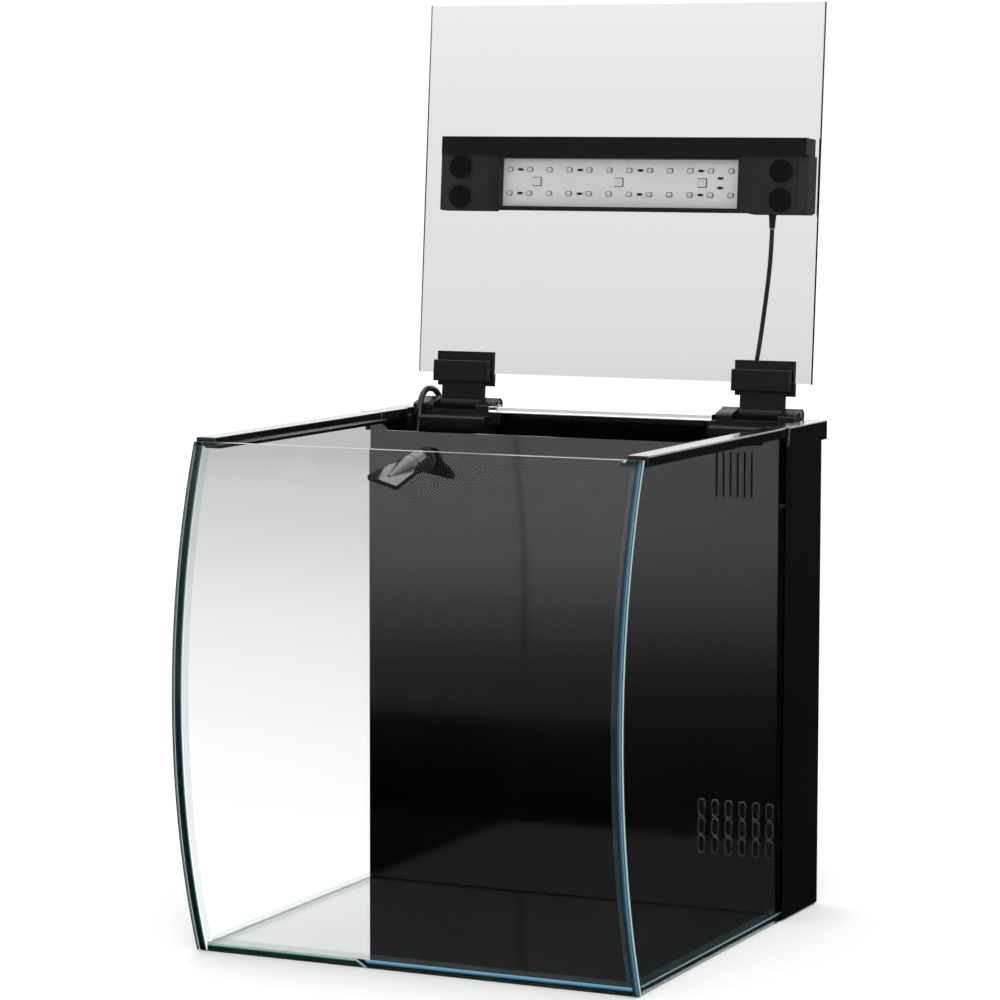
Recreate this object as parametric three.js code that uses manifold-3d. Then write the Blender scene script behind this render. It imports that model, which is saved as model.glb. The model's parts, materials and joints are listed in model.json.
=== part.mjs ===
// All-in-one glass aquarium: a bow-front tank with a black filter chamber behind a
// slotted partition, a hinged glass lid and an LED lamp held on the lid by suction cups.
// Millimetres, +Z up, +Y towards the back. The origin is the centre of the underside.
import * as THREE from 'three';
import * as BufferGeometryUtils from 'three/addons/utils/BufferGeometryUtils.js';
import Module from 'manifold-3d';

const wasm = await Module();
wasm.setup();

// ---------------------------------------------------------------- driving dimensions
const WIDTH = 300;             // outside width of the glass box
const DEPTH = 300;             // outside depth without the bow of the front pane
const GLASS_HEIGHT = 319;
const GLASS = 5;               // pane thickness
const GAP = 0.3;               // clearance between pieces that touch
const BOW = 29.5;              // how far the front pane bulges at mid height

const PARTITION_FRONT = 80;    // y of the face seen from the tank
const PARTITION = 3;           // thickness of partition and dividers
const PARTITION_TOP = 309.6;
const RIM_TOP = 321.5;
const RIM_INNER = 138;         // x of the inner wall of a side rim
const RIM_LEDGE = 134;         // x of the edge of its inner ledge
const RIM_BACK = 84;           // y where the rim ends and the corner cap begins
const SHROUD_FRONT = 87;       // y of the front edge of the black rear shroud
const SHROUD = 1;

const HINGE_X = 109.5;         // hinges stand this far to each side of the middle
const PIN_Y = 151;
const PIN_Z = 323.8;
const PIN_RADIUS = 2;
const BARREL_RADIUS = 4.5;
const ARM_HALF = 15.6;         // half width of a hinge arm
const OPEN_ANGLE = THREE.MathUtils.degToRad(94.5);

const LID = 4;                 // lid glass thickness
const LID_HALF = 143.4;
const LID_REAR = 130.2;        // y of the rear edge of the closed lid
const LID_LENGTH = 251.2;
const LID_BOTTOM = RIM_TOP + GAP;
const LID_TOP = LID_BOTTOM + LID;

const LAMP_HALF = 134;
const LAMP_FRONT = LID_REAR - 162;      // y of the lamp's front edge on the closed lid
const WING_FRONT = LID_REAR - 150.5;
const LAMP_REAR = LID_REAR - 111.7;
const LAMP_BOTTOM = LID_TOP + 3.2;
const LAMP_TOP = LAMP_BOTTOM + 16;
const WINDOW = { left: -90.4, right: 84.6, front: LID_REAR - 147.6, rear: LID_REAR - 115 };
const CUP_RADIUS = 8;

const BALL = new THREE.Vector3(-103, 71, 291.2);   // centre of the nozzle's ball joint
const NOZZLE_PAN = THREE.MathUtils.degToRad(-20);
const NOZZLE_TILT = THREE.MathUtils.degToRad(21);
const NOZZLE_ROLL = THREE.MathUtils.degToRad(-12.5);

const LAMP_CORD = 3;           // cord diameters
const PUMP_CORD = 4.2;

const half = WIDTH / 2;
const inner = half - GLASS - GAP;              // inside the side panes
const front = -DEPTH / 2;
const back = DEPTH / 2;
const bowRadius = ((GLASS_HEIGHT / 2) ** 2 + BOW ** 2) / (2 * BOW);
const bowCentre = { y: front - BOW + bowRadius, z: GLASS_HEIGHT / 2 };

// ---------------------------------------------------------------- materials
const paint = (color, roughness, metalness = 0, opacity = 1) => new THREE.MeshStandardMaterial({
  color, roughness, metalness, opacity, transparent: opacity < 1,
});
const glass = paint(0xcfe8e2, 0.02, 0, 0.35);
const lidGlass = paint(0xe4e9e7, 0.03, 0, 0.4);
const silicone = paint(0xc9dde6, 0.3, 0, 0.7);
const acrylic = paint(0x0a0b0b, 0.12);
const plastic = paint(0x17181a, 0.35);
const gloss = paint(0x2b2d2f, 0.12);
const rubber = paint(0x141414, 0.6);
const steel = paint(0xb9bcc0, 0.25, 1);
const board = paint(0xe9ebe9, 0.45);
const foam = paint(0x1c1f24, 0.95);
const ceramic = paint(0xded8cb, 0.8);
const hoseBlack = paint(0x1a1c1d, 0.4);

// ---------------------------------------------------------------- shape helpers
const alongX = new THREE.Matrix4().makeBasis(
  new THREE.Vector3(0, 1, 0), new THREE.Vector3(0, 0, 1), new THREE.Vector3(1, 0, 0));
const alongY = new THREE.Matrix4().makeBasis(
  new THREE.Vector3(0, 0, 1), new THREE.Vector3(1, 0, 0), new THREE.Vector3(0, 1, 0));

function outline(points) {
  return new THREE.Shape(points.map(([a, b]) => new THREE.Vector2(a, b)));
}

// A prism whose section is given in (y, z) and runs along x.
function prismX(points, x0, x1) {
  const solid = new THREE.ExtrudeGeometry(outline(points), { depth: x1 - x0, bevelEnabled: false });
  return solid.applyMatrix4(alongX).translate(x0, 0, 0);
}

// A prism whose section is given in (x, z) and runs along y.
function prismY(points, y0, y1) {
  const section = outline(points.map(([x, z]) => [z, x]));
  const solid = new THREE.ExtrudeGeometry(section, { depth: y1 - y0, bevelEnabled: false });
  return solid.applyMatrix4(alongY).translate(0, y0, 0);
}

// A prism whose section is given in (x, y) and runs along z.
function prismZ(points, z0, z1) {
  const solid = new THREE.ExtrudeGeometry(outline(points), { depth: z1 - z0, bevelEnabled: false });
  return solid.translate(0, 0, z0);
}

function box(x0, x1, y0, y1, z0, z1) {
  return new THREE.BoxGeometry(x1 - x0, y1 - y0, z1 - z0)
    .translate((x0 + x1) / 2, (y0 + y1) / 2, (z0 + z1) / 2);
}

function arc(cy, cz, radius, from, to, steps) {
  return Array.from({ length: steps + 1 }, (_, i) => {
    const angle = from + (to - from) * i / steps;
    return [cy + radius * Math.cos(angle), cz + radius * Math.sin(angle)];
  });
}

function cylinderX(radius, x0, x1, y, z, sides = 16) {
  return new THREE.CylinderGeometry(radius, radius, x1 - x0, sides)
    .rotateZ(Math.PI / 2).translate((x0 + x1) / 2, y, z);
}

function cylinderY(radius, y0, y1, x, z, sides = 16) {
  return new THREE.CylinderGeometry(radius, radius, y1 - y0, sides)
    .translate(x, (y0 + y1) / 2, z);
}

function cylinderZ(radius, z0, z1, x, y, sides = 16) {
  return new THREE.CylinderGeometry(radius, radius, z1 - z0, sides)
    .rotateX(Math.PI / 2).translate(x, y, (z0 + z1) / 2);
}

// A turned solid from a closed (radius, height) profile, its axis along z.
function turned(profile, sides = 20) {
  const points = profile.map(([r, h]) => new THREE.Vector2(r, h));
  return new THREE.LatheGeometry(points, sides).rotateX(Math.PI / 2);
}

// ---------------------------------------------------------------- boolean helpers
function toManifold(geometry) {
  const bare = geometry.clone();
  for (const name of Object.keys(bare.attributes)) {
    if (name !== 'position') bare.deleteAttribute(name);
  }
  const merged = BufferGeometryUtils.mergeVertices(bare, 1e-4);
  return new wasm.Manifold(new wasm.Mesh({
    numProp: 3,
    vertProperties: new Float32Array(merged.attributes.position.array),
    triVerts: new Uint32Array(merged.index.array),
  }));
}

function toGeometry(solid) {
  const mesh = solid.getMesh();
  const geometry = new THREE.BufferGeometry();
  geometry.setAttribute('position', new THREE.BufferAttribute(mesh.vertProperties, 3));
  geometry.setIndex(new THREE.BufferAttribute(mesh.triVerts, 1));
  geometry.computeVertexNormals();
  return geometry;
}

function join(...pieces) {
  return toGeometry(pieces.map(toManifold).reduce((whole, piece) => whole.add(piece)));
}

function cut(body, ...tools) {
  return toGeometry(tools.map(toManifold).reduce(
    (whole, tool) => whole.subtract(tool), toManifold(body)));
}

// ---------------------------------------------------------------- the scene graph
const aquarium = new THREE.Group();
const names = new Set();

function add(name, geometry, material, parent = aquarium) {
  if (names.has(name)) throw new Error(`two pieces are called ${name}`);
  names.add(name);
  const mesh = new THREE.Mesh(geometry, material);
  mesh.name = name;
  parent.add(mesh);
  return mesh;
}

// ---------------------------------------------------------------- glass box
const BOW_STEPS = 28;

// Points along an arc that shares the bow's centre, between two heights.
function bowArc(radius, z0, z1) {
  const angleAt = (z) => Math.PI + Math.asin((bowCentre.z - z) / radius);
  return arc(bowCentre.y, bowCentre.z, radius, angleAt(z0), angleAt(z1), BOW_STEPS);
}

const frontInside = bowRadius - GLASS;

function glassBox() {
  const faceOut = bowArc(bowRadius, 0, GLASS_HEIGHT);
  const faceIn = bowArc(frontInside, 0, GLASS_HEIGHT).reverse();
  add('front_pane', prismX([...faceIn, ...faceOut], -half, half), glass);

  const sideFront = bowArc(frontInside - GAP, 0, GLASS_HEIGHT);
  const side = [[back, GLASS_HEIGHT], ...sideFront.slice().reverse(), [back, 0]];
  add('left_pane', prismX(side, -half, -half + GLASS), glass);
  add('right_pane', prismX(side, half - GLASS, half), glass);

  add('back_pane', box(-inner, inner, back - GLASS, back, 0, GLASS_HEIGHT), glass);
  const bottomFront = sideFront[0][0];
  add('bottom_pane', box(-inner, inner, bottomFront, back - GLASS - GAP, 0, GLASS), glass);
}

// Fillets of clear silicone in the inner corners of the display part.
function siliconeSeams() {
  const bead = 3;
  const low = GLASS + GAP;
  const outerArc = frontInside - 2 * GAP;
  const innerArc = outerArc - bead;
  const seamTop = GLASS_HEIGHT - 6;
  const section = [
    ...bowArc(innerArc, low + bead + GAP, seamTop).reverse(),
    ...bowArc(outerArc, low + bead + GAP, seamTop),
  ];
  add('seam_front_left', prismX(section, -inner, -inner + bead), silicone);
  add('seam_front_right', prismX(section, inner - bead, inner), silicone);

  const seamY = bowArc(outerArc, low, GLASS_HEIGHT)[0][0];
  const rear = PARTITION_FRONT - GAP;
  const bottomBead = [
    [-inner, seamY], [inner, seamY], [inner, rear], [inner - bead, rear],
    [inner - bead, seamY + bead], [-inner + bead, seamY + bead], [-inner + bead, rear],
    [-inner, rear],
  ];
  add('seam_bottom', prismZ(bottomBead, low, low + bead), silicone);
}

// ---------------------------------------------------------------- black rear chamber
const INTAKE = { columns: 6, rows: 3, firstX: 93.7, pitchX: 9.45, firstZ: 47.2, pitchZ: 12.2 };
const SLIT = { count: 6, firstX: 102.2, pitchX: 4.83, width: 1.3, low: 275.5, high: 305 };

function slotPath(x, z, width, height) {
  const r = width / 2;
  const path = new THREE.Path();
  path.absarc(x, z + height / 2 - r, r, 0, Math.PI, false);
  path.absarc(x, z - height / 2 + r, r, Math.PI, 2 * Math.PI, false);
  return path;
}

function partition() {
  const ear = 136;
  const plate = outline([
    [-inner, GLASS + GAP], [inner, GLASS + GAP], [inner, RIM_TOP - 7.6], [ear, RIM_TOP - 7.6],
    [ear - 3, PARTITION_TOP], [-ear + 3, PARTITION_TOP], [-ear, RIM_TOP - 7.6],
    [-inner, RIM_TOP - 7.6],
  ]);
  for (let row = 0; row < INTAKE.rows; row += 1) {
    for (let column = 0; column < INTAKE.columns; column += 1) {
      const x = INTAKE.firstX + column * INTAKE.pitchX;
      const z = INTAKE.firstZ + row * INTAKE.pitchZ;
      plate.holes.push(slotPath(x, z, 4.2, 10.8));
    }
  }
  for (let i = 0; i < SLIT.count; i += 1) {
    const x = SLIT.firstX + i * SLIT.pitchX;
    plate.holes.push(slotPath(x, (SLIT.low + SLIT.high) / 2, SLIT.width, SLIT.high - SLIT.low));
  }
  const port = new THREE.Path();
  port.absarc(BALL.x, BALL.z, 5 + GAP, 0, 2 * Math.PI, false);
  plate.holes.push(port);
  // The shape lies in (x, z): turning it upright sends its depth towards -y.
  const solid = new THREE.ExtrudeGeometry(plate, {
    depth: PARTITION, bevelEnabled: false, curveSegments: 4,
  });
  solid.rotateX(Math.PI / 2).translate(0, PARTITION_FRONT + PARTITION, 0);
  add('partition_panel', solid, acrylic);
}

const chamberFront = PARTITION_FRONT + PARTITION + GAP;
const chamberBack = back - GLASS - GAP;
const DIVIDER_RIGHT = 81.5;
const DIVIDER_LEFT = -48;
const BLOCK = { front: 125, back: 144.4, low: 303, high: 317.2 };   // hinge base inside the tank

function dividers() {
  const low = GLASS + GAP;
  const notchTop = BLOCK.low - 0.5;
  const notchFront = BLOCK.front - 0.5;
  const right = [
    [chamberFront, low], [95, low], [95, 30], [128, 30], [128, low], [chamberBack, low],
    [chamberBack, notchTop], [notchFront, notchTop], [notchFront, PARTITION_TOP],
    [chamberFront, PARTITION_TOP],
  ];
  add('divider_right', prismX(right, DIVIDER_RIGHT, DIVIDER_RIGHT + PARTITION), acrylic);
  const left = [
    [chamberFront, low], [95, low], [95, 30], [128, 30], [128, low], [chamberBack, low],
    [chamberBack, 290], [chamberFront, 290],
  ];
  add('divider_left', prismX(left, DIVIDER_LEFT, DIVIDER_LEFT + PARTITION), acrylic);
}

// Thin black cover wrapped round the back and the rear ends of the side panes.
function rearShroud() {
  const x0 = half + GAP;
  const y0 = back + GAP;
  const u = [
    [x0, SHROUD_FRONT], [x0 + SHROUD, SHROUD_FRONT], [x0 + SHROUD, y0 + SHROUD],
    [-x0 - SHROUD, y0 + SHROUD], [-x0 - SHROUD, SHROUD_FRONT], [-x0, SHROUD_FRONT],
    [-x0, y0], [x0, y0],
  ];
  add('rear_shroud', prismZ(u, 0.5, GLASS_HEIGHT - 0.5), plastic);
}

// ---------------------------------------------------------------- rims and corner caps
const PANE_GROOVE = { inside: half - GLASS - GAP, outside: half + GAP, roof: GLASS_HEIGHT + GAP };

function sideRims() {
  const lipOuter = half + 1.8;
  const section = [
    [PANE_GROOVE.outside, 315], [lipOuter, 315], [lipOuter, RIM_TOP - 0.6],
    [lipOuter - 0.6, RIM_TOP], [RIM_INNER, RIM_TOP], [RIM_INNER, 316.8], [RIM_LEDGE, 316.8],
    [RIM_LEDGE, 314.3], [PANE_GROOVE.inside, 314.3], [PANE_GROOVE.inside, PANE_GROOVE.roof],
    [PANE_GROOVE.outside, PANE_GROOVE.roof],
  ];
  const y0 = front + 6;
  add('right_rim', prismY(section, y0, RIM_BACK), plastic);
  const mirrored = section.map(([x, z]) => [-x, z]).reverse();
  add('left_rim', prismY(mirrored, y0, RIM_BACK), plastic);
}

const CAP = { outer: half + 4.1, low: 309, paneRoom: 141.2, hingeRoom: 141 };

function cornerCap(sign) {
  const wallInside = half + SHROUD + 2 * GAP;
  const y0 = RIM_BACK + GAP;
  const y1 = back + 4.1;
  const section = [
    [wallInside, CAP.low], [CAP.outer, CAP.low], [CAP.outer, RIM_TOP], [RIM_INNER, RIM_TOP],
    [RIM_INNER, 314.3], [PANE_GROOVE.inside, 314.3], [PANE_GROOVE.inside, PANE_GROOVE.roof],
    [wallInside, PANE_GROOVE.roof],
  ].map(([x, z]) => [sign * x, z]);
  const channel = prismY(sign > 0 ? section : section.reverse(), y0, y1);
  const span = (a, b) => (sign > 0 ? [a, b] : [-b, -a]);
  const paneRoom = box(...span(RIM_INNER - 1, wallInside), CAP.paneRoom,
    back + SHROUD + 2 * GAP, 300, PANE_GROOVE.roof);
  const hingeRoom = box(...span(RIM_INNER - 1, CAP.hingeRoom), BLOCK.front - 0.6, y1 + 1,
    300, RIM_TOP + 1);
  const openBack = box(...span(RIM_INNER - 1, wallInside), back + SHROUD, y1 + 1,
    300, PANE_GROOVE.roof);
  const backWall = box(...span(CAP.hingeRoom, CAP.outer), back + SHROUD + 2 * GAP, y1,
    CAP.low, PANE_GROOVE.roof + 0.5);
  return join(cut(channel, paneRoom, hingeRoom, openBack), backWall);
}

// ---------------------------------------------------------------- hinges
// Profile of a hinge ear: over the back pane, round the pin, and down behind the shroud.
function earSection() {
  const lip = back + SHROUD + 2 * GAP;
  return [
    [136.5, BLOCK.high - 4], [BLOCK.back, BLOCK.high - 4], [BLOCK.back, GLASS_HEIGHT + GAP],
    [lip, GLASS_HEIGHT + GAP], [lip, 308], [lip + 2.7, 308], [lip + 2.7, 319],
    ...arc(PIN_Y, PIN_Z, BARREL_RADIUS, -0.35, 2.3, 8), [138.5, 325], [136.5, 323.5],
  ];
}

// A slot in the front of the left hinge base, where the pump's cord climbs out of the tank.
const CORD_SLOT = box(-137.3, -130.7, BLOCK.front - 1, 136.4, BLOCK.low - 1, BLOCK.high + 1);

function hingeBase(cx, leftReach, rightReach, lugSide) {
  const blockSection = [
    ...arc(BLOCK.front + 8, BLOCK.low + 8, 8, Math.PI, 1.5 * Math.PI, 5),
    [BLOCK.back, BLOCK.low], [BLOCK.back, BLOCK.high], [BLOCK.front + 1.5, BLOCK.high],
    [BLOCK.front, BLOCK.high - 1.5],
  ];
  const x0 = cx - leftReach;
  const x1 = cx + rightReach;
  const bore = cylinderX(PIN_RADIUS + 0.3, x0 - 1, x1 + 1, PIN_Y, PIN_Z);
  const headRecess = cylinderX(3.2, x1 - 2.8, x1 + 1, PIN_Y, PIN_Z);
  const lug = lugSide > 0 ? [x1 - 1, x1 + 6] : [x0 - 6, x0 + 1];
  return cut(join(
    prismX(blockSection, x0, x1),
    prismX(earSection(), x0, cx - ARM_HALF - GAP),
    prismX(earSection(), cx + ARM_HALF + GAP, x1),
    box(...lug, 137, BLOCK.back, 311, 319.7),
    box(cx - ARM_HALF - 1, cx + ARM_HALF + 1, 137, BLOCK.back, BLOCK.high - 1, 320.6),
  ), bore, headRecess, CORD_SLOT);
}

function hinges() {
  const sides = [
    { side: 'left', cx: -HINGE_X, leftReach: 31, rightReach: 28, lug: 1 },
    { side: 'right', cx: HINGE_X, leftReach: 28, rightReach: 28, lug: -1 },
  ];
  for (const { side, cx, leftReach, rightReach, lug } of sides) {
    add(`hinge_base_${side}`, hingeBase(cx, leftReach, rightReach, lug), plastic);
    const shaft = cylinderX(PIN_RADIUS, cx - leftReach + 0.5, cx + rightReach - 1, PIN_Y, PIN_Z);
    const head = cylinderX(2.9, cx + rightReach - 2.5, cx + rightReach - 0.2, PIN_Y, PIN_Z);
    add(`hinge_pin_${side}`, join(shaft, head), steel);
  }
  // Fixed strip of glass that closes the gap behind the lid, between the two hinge bases.
  const stripEnd = HINGE_X - 28 - GAP;
  add('rear_glass_strip', box(-stripEnd, stripEnd, 131.5, back + 3, 320, 324), lidGlass);
}

// ---------------------------------------------------------------- lid, drawn closed
// Everything on the lid is drawn with the lid closed, then the group turns about the pin.
const lid = new THREE.Group();
lid.position.set(0, PIN_Y, PIN_Z);
lid.rotation.x = -OPEN_ANGLE;
aquarium.add(lid);
const closed = new THREE.Group();
closed.position.set(0, -PIN_Y, -PIN_Z);
lid.add(closed);

const PLATE = { back: LID_REAR + 8.5, front: LID_REAR - 14.9, half: 21, thick: 3.5 };
const CLAMP = { back: LID_REAR + 5.7, front: LID_REAR - 8.7, half: 20.85, thick: 3.7 };
const SCREW = { y: LID_REAR + 3.2, offset: 9, radius: 1.5 };

function lidHinge(side, cx) {
  const barrel = cylinderX(BARREL_RADIUS, cx - ARM_HALF, cx + ARM_HALF, PIN_Y, PIN_Z, 20);
  const armPlate = box(cx - ARM_HALF, cx + ARM_HALF, LID_REAR + GAP, PIN_Y - 2,
    LID_BOTTOM + 0.2, LID_TOP);
  const seat = box(cx - ARM_HALF, cx + ARM_HALF, LID_REAR + GAP, PLATE.back - 0.5,
    LID_TOP - 1, LID_TOP + 1);
  const plate = box(cx - PLATE.half, cx + PLATE.half, PLATE.front, PLATE.back,
    LID_TOP + GAP, LID_TOP + GAP + PLATE.thick);
  const bore = cylinderX(PIN_RADIUS + 0.35, cx - 30, cx + 30, PIN_Y, PIN_Z);
  const screwX = [cx - SCREW.offset, cx + SCREW.offset];
  const holes = screwX.map((x) => cylinderZ(SCREW.radius + 0.4, 316, 335, x, SCREW.y, 12));
  add(`hinge_arm_${side}`, cut(join(barrel, armPlate, seat, plate), bore, ...holes),
    plastic, closed);

  const clampBottom = LID_BOTTOM - GAP - CLAMP.thick;
  const clamp = box(cx - CLAMP.half, cx + CLAMP.half, CLAMP.front, CLAMP.back,
    clampBottom, LID_BOTTOM - GAP);
  const blind = screwX.map((x) => cylinderZ(
    SCREW.radius + 0.4, clampBottom + 0.9, 330, x, SCREW.y, 12));
  add(`clamp_plate_${side}`, cut(clamp, ...blind), plastic, closed);

  const headLow = LID_TOP + GAP + PLATE.thick + GAP;
  screwX.forEach((x, i) => {
    const shank = cylinderZ(SCREW.radius, clampBottom + 1.2, headLow + 0.5, x, SCREW.y, 12);
    const head = cylinderZ(2.8, headLow, headLow + 2, x, SCREW.y, 12);
    add(`clamp_screw_${side}_${i + 1}`, join(shank, head), steel, closed);
  });
}

function lidGlassSheet() {
  add('lid_glass', box(-LID_HALF, LID_HALF, LID_REAR - LID_LENGTH, LID_REAR,
    LID_BOTTOM, LID_TOP), lidGlass, closed);
}

// ---------------------------------------------------------------- lamp
const CUPS = [
  ['suction_cup_1', -118.5, LID_REAR - 141], ['suction_cup_2', -118.5, LID_REAR - 121],
  ['suction_cup_3', 115.6, LID_REAR - 140], ['suction_cup_4', 115.6, LID_REAR - 121],
];

function lamp() {
  const wall = 2;
  const body = box(-LAMP_HALF, LAMP_HALF, WING_FRONT, LAMP_REAR - 1.1, LAMP_BOTTOM, LAMP_TOP);
  const hood = box(-LAMP_HALF + 1, LAMP_HALF - 1, LAMP_FRONT, WING_FRONT + 1,
    LID_TOP + 0.6, LAMP_TOP - 1);
  const footLeft = box(-LAMP_HALF, -95, WING_FRONT, LAMP_REAR, LAMP_BOTTOM, LAMP_TOP - 4);
  const footRight = box(93, LAMP_HALF, WING_FRONT, LAMP_REAR, LAMP_BOTTOM, LAMP_TOP - 4);
  const hollow = box(-LAMP_HALF + wall, LAMP_HALF - wall, LAMP_FRONT + wall,
    LAMP_REAR - 1.1 - wall, LAMP_BOTTOM + 8, LAMP_TOP - wall - 1);
  const window = box(WINDOW.left, WINDOW.right, WINDOW.front, WINDOW.rear,
    LAMP_BOTTOM - 1, LAMP_BOTTOM + 9);
  const sockets = CUPS.map(([, x, y]) => cylinderZ(3.4, LAMP_BOTTOM - 1, LAMP_BOTTOM + 4, x, y, 12));
  const vents = Array.from({ length: 12 }, (_, i) => {
    const x = -66 + i * 12;
    return box(x - 1.2, x + 1.2, -12, 8, LAMP_TOP - 5, LAMP_TOP + 1);
  });
  const gland = cylinderY(3.1, LAMP_REAR - 6, LAMP_REAR + 1, 107.5, LAMP_BOTTOM + 7, 12);
  const glandTop = box(103, 112, WING_FRONT + 20, LAMP_REAR, LAMP_BOTTOM + 2, LAMP_TOP - 4);
  add('lamp_housing', cut(join(body, hood, footLeft, footRight, glandTop), hollow, window,
    ...sockets, ...vents, gland), plastic, closed);

  add('led_board', box(WINDOW.left - 4, WINDOW.right + 4, WINDOW.front - 3, WINDOW.rear - GAP,
    LAMP_BOTTOM + 8 + GAP, LAMP_BOTTOM + 8 + GAP + 1.6), board, closed);

  for (const [name, x, y] of CUPS) {
    const cup = turned([
      [0, GAP], [CUP_RADIUS, GAP], [CUP_RADIUS, 0.9], [5.2, 2.4], [3, 2.8], [3, 6.6], [0, 6.6],
    ], 18);
    add(name, cup.translate(x, y, LID_TOP), rubber, closed);
  }

  const relief = turned([[0, 0], [2.8, 0], [2.8, 6.2], [2.4, 7], [1.9, 15], [0, 15]], 12);
  relief.rotateX(-Math.PI / 2).translate(107.5, LAMP_REAR - 6 + GAP, LAMP_BOTTOM + 7);
  add('lamp_strain_relief', relief, rubber, closed);
}

// ---------------------------------------------------------------- return pump and nozzle
const PUMP = { x0: -121, x1: -79, y0: 84, y1: 122, z0: GLASS + 0.8, z1: 60 };
const pumpAxis = { y: 103, z: 30 };

function pump() {
  const body = box(PUMP.x0, PUMP.x1, PUMP.y0, PUMP.y1, PUMP.z0, PUMP.z1);
  const well = cylinderX(9, PUMP.x1 - 32, PUMP.x1 + 1, pumpAxis.y, pumpAxis.z, 20);
  const spigot = cylinderZ(5.6, PUMP.z1 - 1, PUMP.z1 + 14, BALL.x, pumpAxis.y, 16);
  const bore = cylinderZ(3.8, PUMP.z1 - 25, PUMP.z1 + 15, BALL.x, pumpAxis.y, 16);
  const gland = cylinderZ(4, PUMP.z1 - 8, PUMP.z1 + 1, -114, 114, 12);
  add('pump_body', cut(join(body, spigot), well, bore, gland), plastic);

  const coverX = PUMP.x1 + GAP;
  const cover = join(
    box(coverX, coverX + 3, PUMP.y0 + 3, PUMP.y1 - 3, 12, 50),
    cylinderX(13, coverX + 2, coverX + 10, pumpAxis.y, pumpAxis.z, 20));
  const intake = [-8, -4, 0, 4, 8].map((dy) => box(coverX - 1, coverX + 11,
    pumpAxis.y + dy - 1, pumpAxis.y + dy + 1, pumpAxis.z - 8, pumpAxis.z + 8));
  add('pump_intake_cover', cut(cover, ...intake), plastic);

  add('impeller_shaft', cylinderX(1.2, PUMP.x1 - 31.6, PUMP.x1 - 1, pumpAxis.y, pumpAxis.z, 10),
    steel);
  const rotor = cylinderX(7.6, PUMP.x1 - 30, PUMP.x1 - 12, pumpAxis.y, pumpAxis.z, 18);
  const blades = [0, 1, 2].map((i) => new THREE.BoxGeometry(9, 15.2, 1.6)
    .rotateX(i * Math.PI / 3).translate(PUMP.x1 - 7.8, pumpAxis.y, pumpAxis.z));
  const shaftHole = cylinderX(1.6, PUMP.x1 - 40, PUMP.x1 + 5, pumpAxis.y, pumpAxis.z, 10);
  add('impeller', cut(join(rotor, ...blades), shaftHole), rubber);

  const relief = turned([[0, 0], [3.6, 0], [3.6, 7.5], [3.2, 9], [2.6, 24], [0, 24]], 12);
  add('pump_strain_relief', relief.translate(-114, 114, PUMP.z1 - 8 + GAP), rubber);
}

// A hollow pipe of ring section along a path.
function pipe(path, outer, bore, steps) {
  const ring = new THREE.Shape().absarc(0, 0, outer, 0, 2 * Math.PI, false);
  ring.holes.push(new THREE.Path().absarc(0, 0, bore, 0, 2 * Math.PI, true));
  return new THREE.ExtrudeGeometry(ring, { steps, extrudePath: path, curveSegments: 6 });
}

function returnLine() {
  const low = PUMP.z1 + GAP;
  const hosePath = new THREE.LineCurve3(
    new THREE.Vector3(BALL.x, pumpAxis.y, low), new THREE.Vector3(BALL.x, pumpAxis.y, 262));
  add('return_hose', pipe(hosePath, 8, 6, 1), hoseBlack);

  const elbowPath = new THREE.CurvePath();
  const corner = 12;
  const bendStart = new THREE.Vector3(BALL.x, pumpAxis.y, BALL.z - corner);
  const bendEnd = new THREE.Vector3(BALL.x, pumpAxis.y - corner, BALL.z);
  elbowPath.add(new THREE.LineCurve3(new THREE.Vector3(BALL.x, pumpAxis.y, 248), bendStart));
  elbowPath.add(new THREE.QuadraticBezierCurve3(
    bendStart, new THREE.Vector3(BALL.x, pumpAxis.y, BALL.z), bendEnd));
  elbowPath.add(new THREE.LineCurve3(bendEnd, new THREE.Vector3(BALL.x, BALL.y + 10, BALL.z)));
  const ball = new THREE.SphereGeometry(5.6, 16, 10).translate(...BALL.toArray());
  const neck = cylinderY(2.6, BALL.y, BALL.y + 11.5, BALL.x, BALL.z, 14);
  const bulk = cylinderY(4.9, BALL.y + 7.2, BALL.y + 11.5, BALL.x, BALL.z, 16);
  const throat = cylinderY(1.6, BALL.y - 8, BALL.y + 14, BALL.x, BALL.z, 12);
  add('return_elbow', cut(join(pipe(elbowPath, 4.9, 3.2, 24), bulk, ball, neck), throat),
    plastic);

  const ringSection = [[5.3, 0], [8.4, 0], [8.4, 0.8], [7.7, 1.5], [5.3, 1.5], [5.3, 0]];
  const flange = turned(ringSection, 20).rotateX(Math.PI / 2);
  add('bulkhead_ring', flange.translate(BALL.x, PARTITION_FRONT - GAP, BALL.z), plastic);
  const nut = new THREE.CylinderGeometry(10.5, 10.5, 5, 6)
    .translate(BALL.x, PARTITION_FRONT + PARTITION + GAP + 2.5, BALL.z);
  const nutBore = cylinderY(5.3, PARTITION_FRONT, PARTITION_FRONT + 20, BALL.x, BALL.z, 16);
  add('bulkhead_nut', cut(nut, nutBore), plastic);
}

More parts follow.
